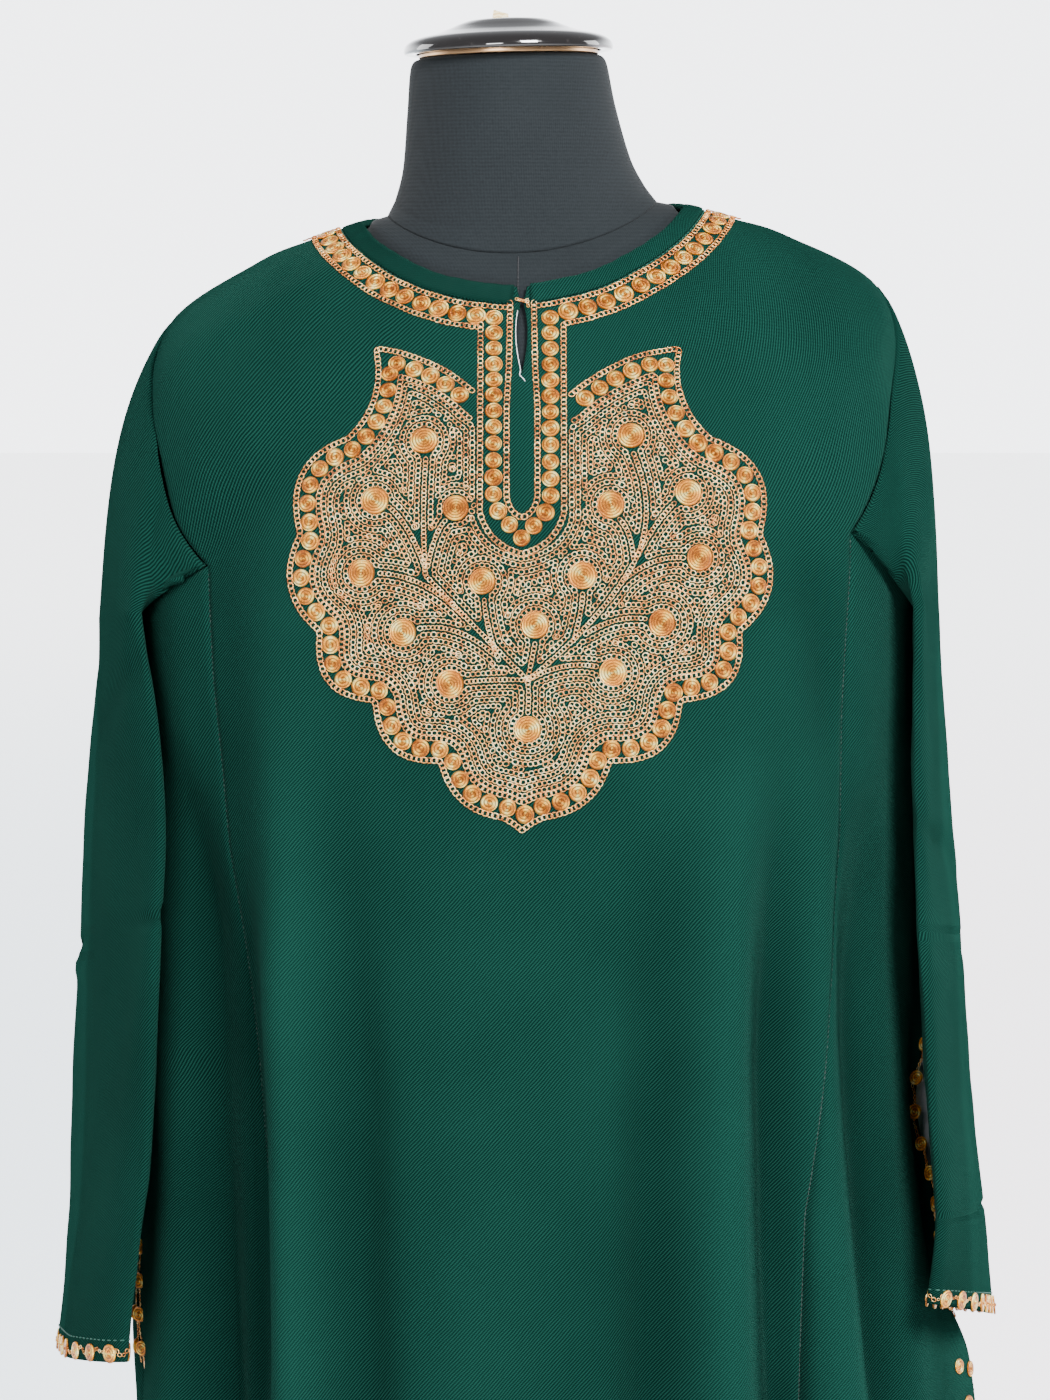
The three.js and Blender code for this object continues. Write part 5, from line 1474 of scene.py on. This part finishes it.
def cotton():
    s = Shade("grey_lining_cotton", roughness=0.9, Sheen_Weight=0.1)
    cloth = s.node("ShaderNodeUVMap", {"uv_map": "cloth"})
    u, v, _ = s.parts(cloth)
    weave = (u * 9000.0).sine() * (v * 9000.0).sine() * 0.5 + 0.5
    tone = weave * 0.3 + s.noise(cloth, 120.0) * 0.6
    return s.finish(s.mix(tone, (0.74, 0.80, 0.85), (0.93, 0.96, 0.99)), weave, depth=0.0002, strength=0.5)


LINING_COTTON = cotton()
for side in SIDES:
    pocket_lining(side)

# %% [markdown]
# ## The dress form
# The form is padded board under a tight black jersey. Its shoulders follow the garment from inside, which
# is what holds the cloth up, and below them it narrows to a general waist. The neck is its own piece, with
# a seam round it.

# %% Dress form
FORM_CLEARANCE = CLOTH + 1.6
NECK_BASE = (75, 75, 59, 50, 1378, 1403, 1413, 2.0)
FORM_ROWS = [
    (190, 190, 120, 101, 1258, 1296, 1286, 2.6),
    (172, 172, 128, 104, 1228, 1222, 1224, 2.4),
    (163, 163, 136, 104, 1160, 1160, 1160, 2.3),
    (146, 146, 118, 94, 1085, 1085, 1085, 2.2),
    (122, 122, 93, 80, 1005, 1005, 1005, 2.1),
    (148, 148, 102, 101, 915, 915, 915, 2.15),
    (166, 166, 108, 116, 830, 830, 830, 2.2),
    (160, 160, 103, 110, 720, 720, 720, 2.2),
    (152, 152, 96, 103, 700, 700, 700, 2.2),
]
FORM_TABLE = [NECK_BASE] + [row[:8] for row in BODY_ROWS[:SHOULDER_ROW + 1]] + FORM_ROWS
FORM = {key: np.array([row[i] for row in FORM_TABLE], float) for i, key in enumerate(SECTION[:8])}
AROUND = np.linspace(0, 360, 129)[:-1]
NECK = ("x", "half", "front", "back", "z_front", "z_side", "z_back", "lean")
NECK_ROWS = [
    (-1, 70, 55, 48, 1392, 1411, 1420, 0.052),
    (-3, 63.5, 52, 47, 1418, 1428, 1434, 0.045),
    (-6, 58, 50, 47, 1455, 1458, 1460, 0.035),
    (-7.5, 54.5, 49, 47, 1482, 1482, 1482, 0.028),
    (-7.5, 50, 45, 43, 1486.85, 1486.85, 1486.85, 0.028),
]
NECK_TABLE = {key: np.array([row[i] for row in NECK_ROWS], float) for i, key in enumerate(NECK)}


def jersey():
    s = Shade("black_jersey", roughness=0.85, Sheen_Weight=0.04, Sheen_Roughness=0.5)
    s.put(s.surface, {"Specular IOR Level": 0.06})
    place = s.place()
    x, y, z = s.parts(place)
    courses = (z * (2 * math.pi / 0.0021) + s.noise(place, 120.0) * 2.5).sine() * 0.5 + 0.5
    wales = ((x + y * 0.7) * (2 * math.pi / 0.0014)).sine() * 0.5 + 0.5
    lint = s.noise(place, 900.0, 3.0)
    tone = courses * 0.15 + wales * 0.1 + lint * 0.6 + s.noise(place, 14.0) * 0.3 - 0.1
    colour = s.mix(tone, (0.0050, 0.0062, 0.0070), (0.0200, 0.0245, 0.0275))
    return s.finish(colour, courses * 0.6 + wales * 0.4 + lint * 0.6, depth=0.0002, strength=0.5)


JERSEY = jersey()


def loft(name, rings, material, cad_node):
    """Closed rings from the foot to the top, joined, with a fan over each end."""
    rings = np.asarray(rings)
    count, around = rings.shape[:2]
    index = np.arange(count * around).reshape(count, around)
    nxt = np.roll(index, -1, axis=1)
    sides = np.stack([index[:-1], nxt[:-1], nxt[1:], index[1:]], -1).reshape(-1, 4).tolist()
    ends = [rings[0].mean(0, keepdims=True), rings[-1].mean(0, keepdims=True)]
    points = np.concatenate([rings.reshape(-1, 3), *ends])
    foot, top = len(points) - 2, len(points) - 1
    fans = [(int(nxt[0][i]), int(index[0][i]), foot) for i in range(around)]
    fans += [(int(index[-1][i]), int(nxt[-1][i]), top) for i in range(around)]
    made = mesh_object(name, points, sides + fans, material)
    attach(made, "root")
    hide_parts(cad_node)
    print(name, "faces", len(made.data.polygons))
    return made


def form_ring(row):
    inset = FORM_CLEARANCE * float(smoothstep(row, 0.5, 1) * (1 - smoothstep(row, 5.05, 5.6)))
    return ring_point(FORM, AROUND, np.full(AROUND.shape, row), inset)


def neck_ring(row):
    at = {key: smooth_column(values, row) for key, values in NECK_TABLE.items()}
    s, c = np.sin(np.radians(AROUND)), np.cos(np.radians(AROUND))
    depth = np.where(c > 0, at["front"], at["back"])
    z = at["z_side"] + (np.where(c > 0, at["z_front"], at["z_back"]) - at["z_side"]) * np.abs(c)
    x = at["x"] + at["half"] * s
    return np.stack([x, -depth * c, z + at["lean"] * x], -1)


torso_rows = np.linspace(len(FORM_TABLE) - 1, 0, 140)
loft("form_torso_cover", [form_ring(row) for row in torso_rows], JERSEY, "form_torso")
foot_ring = form_ring(0.0) + [0, 0, SEAM_GAP]
flare = [foot_ring * (1 - t) + neck_ring(0.0) * t for t in np.linspace(0, 1, 8)[:-1]]
loft("form_neck_cover", flare + [neck_ring(r) for r in np.linspace(0, 4, 48)], JERSEY, "form_neck")

# %% [markdown]
# ## Cap, peg and stand
# The neck is closed by a turned disc: a thin bronze plate below and a glossy black lacquered dome with a
# rounded rim above. These parts are round, so each is a profile turned about an axis.

# %% Cap and stand
CAP = {"x": -7.5, "y": -1, "bottom": 1487, "tilt": -0.028, "plate_radius": 50, "plate": 3, "height": 17.5}
DOME_FOOT = CAP["plate"] + SEAM_GAP
DOME = [
    (0, 3.3), (51.2, 3.3), (51.4, 2.3), (57.0, 2.1), (58.2, 3.0), (58.3, 4.6), (57.4, 6.9), (55.2, 9.0),
    (51.5, 10.7), (45.5, 12.2), (39, 13.9), (33, 16.0), (27.5, 18.3), (22.5, 19.9), (16, 20.6), (0, 20.8),
]
COLLAR = {"top_radius": 38, "foot_radius": 23, "cone": 18, "height": 24}
COLLAR_FOOT = FORM_ROWS[-1][5] - SEAM_GAP - COLLAR["height"]
POLE_RADIUS = 15
BASE = {"radius": 200, "edge": 9, "top_radius": 195, "height": 14}
PEG = {"width": 7, "left": -4, "outline": [(-4.5, 0), (4.5, 0), (4.5, 2.2), (-3.5, 4.6)]}


def tilted(x, y, z, origin, tilt):
    leaned_x, leaned_z = x * math.cos(tilt) + z * math.sin(tilt), z * math.cos(tilt) - x * math.sin(tilt)
    return np.stack([leaned_x, y, leaned_z], -1) + np.array(origin)


def turned(name, profile, material, cad_node, origin=(0, 0, 0), tilt=0.0):
    turn = np.radians(AROUND)
    rings = []
    for radius, z in profile:
        x, y = max(radius, 0.01) * np.sin(turn), -max(radius, 0.01) * np.cos(turn)
        rings.append(tilted(x, y, z, origin, tilt))
    return loft(name, rings, material, cad_node)


def rounded(corners, radius, steps=5):
    """A profile with each inner corner turned into a small arc."""
    corners = [np.array(c, float) for c in corners]
    made = [corners[0]]
    for before, at, after in zip(corners, corners[1:], corners[2:]):
        start = at + (before - at) / np.linalg.norm(before - at) * radius
        end = at + (after - at) / np.linalg.norm(after - at) * radius
        made += [(1 - t) ** 2 * start + 2 * t * (1 - t) * at + t * t * end for t in np.linspace(0, 1, steps)]
    return [tuple(p) for p in made + [corners[-1]]]


def lacquer():
    s = Shade("black_lacquer", roughness=0.12, Coat_Weight=1.0, Coat_Roughness=0.04)
    place = s.place()
    dust = s.noise(place, 260.0, 4.0).soft(0.55, 0.8)
    s.put(s.surface, {"Roughness": dust * 0.25 + 0.1})
    colour = s.mix(dust * 0.4, (0.004, 0.003, 0.003), (0.02, 0.017, 0.016))
    return s.finish(colour, s.noise(place, 40.0), 0.0002, 0.15)


def bronze():
    s = Shade("bronze_plate", metallic=0.9)
    place = s.place()
    stain = s.noise(place, 60.0, 4.0)
    s.put(s.surface, {"Roughness": stain * 0.3 + 0.15})
    return s.finish(s.mix(stain, (0.32, 0.17, 0.08), (0.62, 0.40, 0.22)), stain, 0.0002, 0.2)


def pale_wood():
    s = Shade("pale_wood", roughness=0.6)
    z = s.parts(s.place())[2]
    grain = (z * 3000.0 + s.noise(s.place(), 300.0) * 9.0).sine() * 0.5 + 0.5
    return s.finish(s.mix(grain, (0.72, 0.50, 0.2), (0.95, 0.80, 0.48)), grain, 0.0002, 0.4)


def brushed_steel():
    s = Shade("brushed_steel", metallic=0.95)
    z = s.parts(s.place())[2]
    lines = s.node("ShaderNodeTexNoise", {"noise_dimensions": "1D"}, {"W": z, "Scale": 5000.0, "Detail": 3.0})
    s.put(s.surface, {"Roughness": lines * 0.25 + 0.2})
    return s.finish(s.mix(lines, (0.45, 0.45, 0.46), (0.66, 0.66, 0.67)), lines, 0.00005, 0.4)


def powder_coat():
    s = Shade("black_powder_coat", roughness=0.5)
    pimples = s.noise(s.place(), 900.0, 3.0)
    return s.finish(s.mix(pimples, (0.012, 0.012, 0.013), (0.035, 0.035, 0.037)), pimples, 0.0003, 0.6)


CAP_AT = {"origin": (CAP["x"], CAP["y"], CAP["bottom"]), "tilt": CAP["tilt"]}
LACQUER, IRON = lacquer(), powder_coat()
plate_radius, plate_top = CAP["plate_radius"], CAP["plate"]
plate_profile = rounded([(0, 0), (plate_radius, 0), (plate_radius, plate_top), (0, plate_top)], 0.8)
turned("cap_plate_disc", plate_profile, bronze(), "cap_plate", **CAP_AT)
shares = np.linspace(0, len(DOME) - 2, 75)
dome_profile = [tuple(float(smooth_column(np.array(DOME)[:, i], k)) for i in (0, 1)) for k in shares]
turned("cap_dome_lacquered", dome_profile + [DOME[-1]], LACQUER, "cap_dome", **CAP_AT)
cone_top, collar_top = COLLAR_FOOT + COLLAR["cone"], COLLAR_FOOT + COLLAR["height"]
collar = [(0, COLLAR_FOOT), (COLLAR["foot_radius"], COLLAR_FOOT), (COLLAR["top_radius"], cone_top),
          (COLLAR["top_radius"], collar_top), (0, collar_top)]
turned("form_collar_cast", rounded(collar, 2), IRON, "form_collar")
pole_foot, pole_top = BASE["height"] + SEAM_GAP, COLLAR_FOOT - SEAM_GAP
pole = [(0, pole_foot), (POLE_RADIUS, pole_foot), (POLE_RADIUS, pole_top), (0, pole_top)]
turned("pole_tube", pole, brushed_steel(), "pole")
base = [(0, 0), (BASE["radius"], 0), (BASE["radius"], BASE["edge"]), (BASE["top_radius"], BASE["height"]),
        (0, BASE["height"])]
turned("base_plate_disc", rounded(base, 1.5), IRON, "base_plate")


def peg():
    foot = DOME_FOOT + CAP["height"] + SEAM_GAP
    x, z = (np.array(PEG["outline"]) + [PEG["left"], foot]).T
    half = PEG["width"] / 2
    points = np.concatenate([tilted(x, np.full(4, y), z, **CAP_AT) for y in (-half, half)])
    faces = [(0, 1, 2, 3), (7, 6, 5, 4)] + [(i, i + 4, (i + 1) % 4 + 4, (i + 1) % 4) for i in range(4)]
    made = mesh_object("cap_peg_wood", points, faces, pale_wood())
    made.data.polygons.foreach_set("use_smooth", [False] * 6)
    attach(made, "root")
    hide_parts("cap_peg")


peg()
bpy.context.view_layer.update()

# %% [markdown]
# ## Cuffs and pocket mouths
# The worker carries the same coins round both cuffs and along the lips of the pocket mouths, wider apart,
# with one thin wandering thread between them and the edge.

# %% Cuff and pocket coins
COIN_PITCH, CUFF_COIN, LIP_COIN = 20.5, 5.3, 4.4
CUFF_COIN_ROW, CUFF_THREAD_ROW, THREAD_PITCH = 5.88, 5.87, 2.6
LIP_TOP_ROW, LIP_END_ROW = 9.2, {"left": 11.15, "right": 10.9}
FOOT_COINS = {"degrees": np.array([83.6, 87.6, 85.4]), "rows": np.array([11.12, 11.16, 11.32])}
CUFF_RING = np.linspace(0, 360, 240)
edge_coins, edge_threads = [], []


def on_sleeve(side):
    return lambda angle, t: sleeve_cloth(side, angle, t)


for side in SIDES:
    sleeve_face, sign = on_sleeve(side), sign_of(side)
    sway = 0.035 * np.sin(np.radians(CUFF_RING) * 16) + 0.012 * np.sin(np.radians(CUFF_RING) * 41)
    coin_line = np.full(CUFF_RING.shape, CUFF_COIN_ROW)
    edge_coins.append(stitches_along(CUFF_RING, coin_line, COIN_PITCH, CUFF_COIN, 0.3, sleeve_face))
    thread_line = CUFF_THREAD_ROW + sway
    edge_threads.append(stitches_along(CUFF_RING, thread_line, THREAD_PITCH, 2.3, 0.4, sleeve_face))
    lip_rows = np.linspace(LIP_TOP_ROW, LIP_END_ROW[side], 90)
    z = smooth_column(BODY["z_side"], lip_rows)
    for part, towards in (("front", 1), ("back", -1)):
        edge = 90 - towards * (gap_degrees(lip_rows) + gape_degrees(side, part, z))
        lip = stitches_along(sign * (edge - towards * 1.2), lip_rows, COIN_PITCH, LIP_COIN, rise=1.0)
        lip["out"] = unit(lip["out"] + [0, -0.9 * towards, 0])
        edge_coins.append(lip)
        wander = 0.5 * np.sin(lip_rows * 24) + 0.2 * np.sin(lip_rows * 61)
        thread_at = sign * (edge - towards * (0.9 + wander))
        edge_threads.append(stitches_along(thread_at, lip_rows, THREAD_PITCH, 2.2, rise=0.4))
    foot_degrees = sign * FOOT_COINS["degrees"]
    edge_coins.append(single_spots(foot_degrees, FOOT_COINS["rows"], LIP_COIN, (0.0, 0.0, 1.0)))
sew("edge_coins", COIN, together(edge_coins), COIN_GOLD, unevenness=0.06, seed=34)
sew("edge_threads", LOOP, together(edge_threads), BORDER_THREAD, unevenness=0.2, seed=35)

# %% [markdown]
# The slit's edge is raw, with a pale thread fringe on its left, and one gold tack holds it shut near the
# top. Hems and the form's neck seam are closed with plain running stitches. The long seams are sewn with
# closer ones, so no light comes through them.

# %% Plain stitches
def bar_template(sides=6):
    """One running stitch: a short round bar, sunk at both ends."""
    half = [(-0.5, 0.02, -0.12), (-0.42, 0.12, 0.0)]
    profile = half + [(0.0, 0.16, 0.08)] + [(-x, r, h) for x, r, h in half[::-1]]
    turns = [2 * math.pi * k / sides for k in range(sides)]
    points = [(x, r * math.sin(turn), h + r * math.cos(turn)) for x, r, h in profile for turn in turns]
    faces = []
    for start in range(0, (len(profile) - 1) * sides, sides):
        for k in range(sides):
            after = (k + 1) % sides
            faces.append((start + k, start + after, start + sides + after, start + sides + k))
    last = (len(profile) - 1) * sides
    faces += [tuple(range(sides - 1, -1, -1)), tuple(range(last, last + sides))]
    return np.array(points), [f[::-1] for f in faces], None


def plain_thread(name, dark, light):
    s = Shade(name, roughness=0.7)
    twist = s.noise(s.place(), 1500.0)
    return s.finish(s.mix(twist, dark, light), twist, 0.0002, 0.5)


GREEN_THREAD = plain_thread("green_thread", (0.002, 0.03, 0.022), (0.01, 0.1, 0.07))
SEAM_THREAD = plain_thread("seam_thread", (0.0008, 0.009, 0.0065), (0.003, 0.026, 0.019))
BLACK_THREAD = plain_thread("black_thread", (0.004, 0.004, 0.005), (0.03, 0.03, 0.035))
RAW_THREAD = plain_thread("pale_raw_thread", (0.55, 0.58, 0.6), (0.85, 0.86, 0.88))
BAR = template_object("bar_template", *bar_template(), GREEN_THREAD)
HEM_STITCH_ROW, CUFF_STITCH_ROW, BINDING_STITCH_ROW = HEM_ROW - 0.1, 5.74, 1.02
hem_rows = []
around = np.linspace(-180, 180, 500)
hem_rows.append(stitches_along(around, np.full(500, HEM_STITCH_ROW), 6.0, 3.4, rise=-0.1))
cuff_line = np.full(CUFF_RING.shape, CUFF_STITCH_ROW)
for side in SIDES:
    hem_rows.append(stitches_along(CUFF_RING, cuff_line, 5.0, 3.0, -0.1, on_sleeve(side)))
binding_edge = np.linspace(4, 356, 300)
hem_rows.append(stitches_along(binding_edge, np.full(300, BINDING_STITCH_ROW), 3.2, 2.2, rise=0.1))
sew("hem_stitches", BAR, together(hem_rows), GREEN_THREAD, seed=41)

SEAM_STITCH = {"pitch": 2.8, "size": 4.0, "rise": -1.1}
down_seam = np.linspace(UNDERARM_ROW + 0.05, HEM_ROW - 0.01, 400)
side_height = smooth_column(BODY["z_side"], down_seam)
shut_side = [down_seam[side_height > POCKET["top"] + 6], down_seam[side_height < POCKET["bottom"] - 6]]
seam_rows = []
for sign in (-1, 1):
    for seam in ("front_seam", "back_seam"):
        angles = sign * straight_column(BODY[seam], down_seam)
        seam_rows.append(stitches_along(angles, down_seam, **SEAM_STITCH))
    for shut in shut_side:
        seam_rows.append(stitches_along(np.full(len(shut), sign * 90.0), shut, **SEAM_STITCH))
sew("seam_stitches", BAR, together(seam_rows), SEAM_THREAD, unevenness=0.1, seed=42)


# %% Raw slit edge, tack and the form's seams
slit_z = np.linspace(1347, 1315, 40)
fringe = np.stack([-keyhole_half(slit_z) - 0.5, slit_z], -1).tolist()
fringe += [(-1.5, 1312.5), (0.5, 1311.0), (1.6, 1309.5)]
raw = pattern_row(fringe, 1.0, 1.5, rise=0.5)
sew("raw_slit_edge", BAR, raw, RAW_THREAD, unevenness=0.3, seed=43)
tack = pattern_row([(-3.2, 1352.5), (3.2, 1351.0)], 1.2, 2.0, rise=1.6)
tack_hook = pattern_row([(2.8, 1352.5), (3.4, 1348)], 1.2, 1.8, rise=1.8)
sew("slit_tack", LOOP, together([tack, tack_hook]), THREAD, seed=44)

neck_line = form_ring(0.0)
NECK_MIDDLE = np.array([0, 0, 1395.0])
neck_out = unit(neck_line - NECK_MIDDLE) * np.array([1, 1, 0.35])
neck_along = unit(np.roll(neck_line, -1, axis=0) - np.roll(neck_line, 1, axis=0))
neck_rows = {"points": neck_line + neck_out * 0.4 - [0, 0, 2.2], "out": unit(neck_out), "along": neck_along,
             "size": np.full(len(neck_line), 2.6)}
middle = np.linspace(0.2, 1.9, 26)
middle_line = ring_point(FORM, np.full(26, -1.5), middle, FORM_CLEARANCE * smoothstep(middle, 0.5, 1))
middle_rows = {"points": middle_line + [0, -0.3, 0], "out": np.tile([0.0, -1.0, 0.5], (26, 1)),
               "along": unit(np.gradient(middle_line, axis=0)), "size": np.full(26, 2.4)}
sew("form_seam_stitches", BAR, together([neck_rows, middle_rows]), BLACK_THREAD, seed=47)

# %% [markdown]
# ## Floor and light
# The floor is pale paper, and the room is brightest behind the garment. Far behind the garment the floor
# also glows, as painted light, so the garment stands against a nearly white ground while its front stays dim
# enough for the folds to show. Soft lamps stand at both sides, above and in front.

# %% Floor, lamps and surroundings
paper = Shade("pale_paper", roughness=0.9)
paper_place = paper.place()
across_room, behind, _ = paper.parts(paper_place)
paper_tone = paper.mix(paper.noise(paper_place, 3.0), (0.84, 0.85, 0.86), (0.88, 0.88, 0.89))
# Painted light: the floor glows only beyond the garment, dimmer and bluer towards the left and whiter further
# back.
near_glow = paper.mix(across_room.soft(-0.8, 0.9), (0.60, 0.68, 0.74), (0.86, 0.82, 0.86))
far_glow = paper.mix(behind.soft(2.4, 16.0), near_glow, (0.93, 0.95, 0.98))
glow = paper.mix(behind.soft(0.6, 2.6), (0.0, 0.0, 0.0), far_glow)
FLOOR_HALF = 30000
floor_points = np.array([[-1, -1, 0], [1, -1, 0], [1, 1, 0], [-1, 1, 0]], float) * FLOOR_HALF
floor = mesh_object("pale_floor", floor_points, [(0, 1, 2, 3)],
                    paper.finish(paper_tone, Emission_Color=glow, Emission_Strength=3.4))

world = bpy.data.worlds.new("pale_room")
world.use_nodes = True
room = Tree(world.node_tree)
heading = room.node("ShaderNodeTexCoord", out="Generated")
depth, height = [room.node("ShaderNodeSeparateXYZ", {}, {0: heading}, out=i) for i in (1, 2)]
back_light = depth.soft(0.1, 0.8) * height.soft(0.55, 0.1)
background = world.node_tree.nodes["Background"]
background.inputs["Color"].default_value = (0.94, 0.96, 1.0, 1)
room.put(background, {"Strength": back_light * 4.2 + 0.5})
scene.world = world


def lamp(name, place, aim, width, height, power, colour=(1, 1, 1)):
    data = bpy.data.lights.new(name, "AREA")
    data.shape = "RECTANGLE"
    data.size, data.size_y, data.energy, data.color = width, height, power, colour
    made = bpy.data.objects.new(name, data)
    made.location = place
    made.rotation_euler = (Vector(aim) - Vector(place)).to_track_quat("-Z", "Y").to_euler()
    scene.collection.objects.link(made)


lamp("left_softbox", (-2.2, 0.7, 1.7), (-0.1, 0, 1.05), 0.9, 1.6, 26)
lamp("right_softbox", (2.3, 0.7, 1.7), (0.1, 0, 1.05), 0.9, 1.6, 34)
lamp("high_softbox", (0.95, -2.2, 2.6), (0, 0, 1.15), 0.8, 0.8, 205)
lamp("front_softbox", (-0.7, -2.6, 1.7), (0.1, 0, 1.1), 0.8, 0.8, 65)
print("lamps:", len(bpy.data.lights))

# %% [markdown]
# ## Finishes by name
# A table groups the materials under the record's finish names. The last lines count the triangles of every
# piece whose material is in that table and print the total and the largest piece.

# %% Finishes by name and a count of triangles
FINISHES = {
    "green_wool": ("green_wool_twill", "green_thread", "seam_thread"),
    "gold_thread": ("metal_thread", "border_metal_thread", "spiral_coin_thread", "spiral_disc_thread"),
    "grey_lining": ("grey_lining_cotton", "pale_raw_thread"),
    "form_jersey": ("black_jersey", "black_thread"),
    "black_gloss": ("black_lacquer",),
    "bronze_plate": ("bronze_plate",),
    "pale_wood": ("pale_wood",),
    "steel": ("brushed_steel",),
    "black_iron": ("black_powder_coat",),
}
SLOT_OF = {material: slot for slot, materials in FINISHES.items() for material in materials}
faces = {}
for made in scene.objects:
    if made.type == "MESH" and made.data.materials and made.data.materials[0].name in SLOT_OF:
        faces[made.name] = sum(len(p.vertices) - 2 for p in made.data.polygons)
print("triangles in all:", sum(faces.values()), "largest:", max(faces.items(), key=lambda item: item[1]))
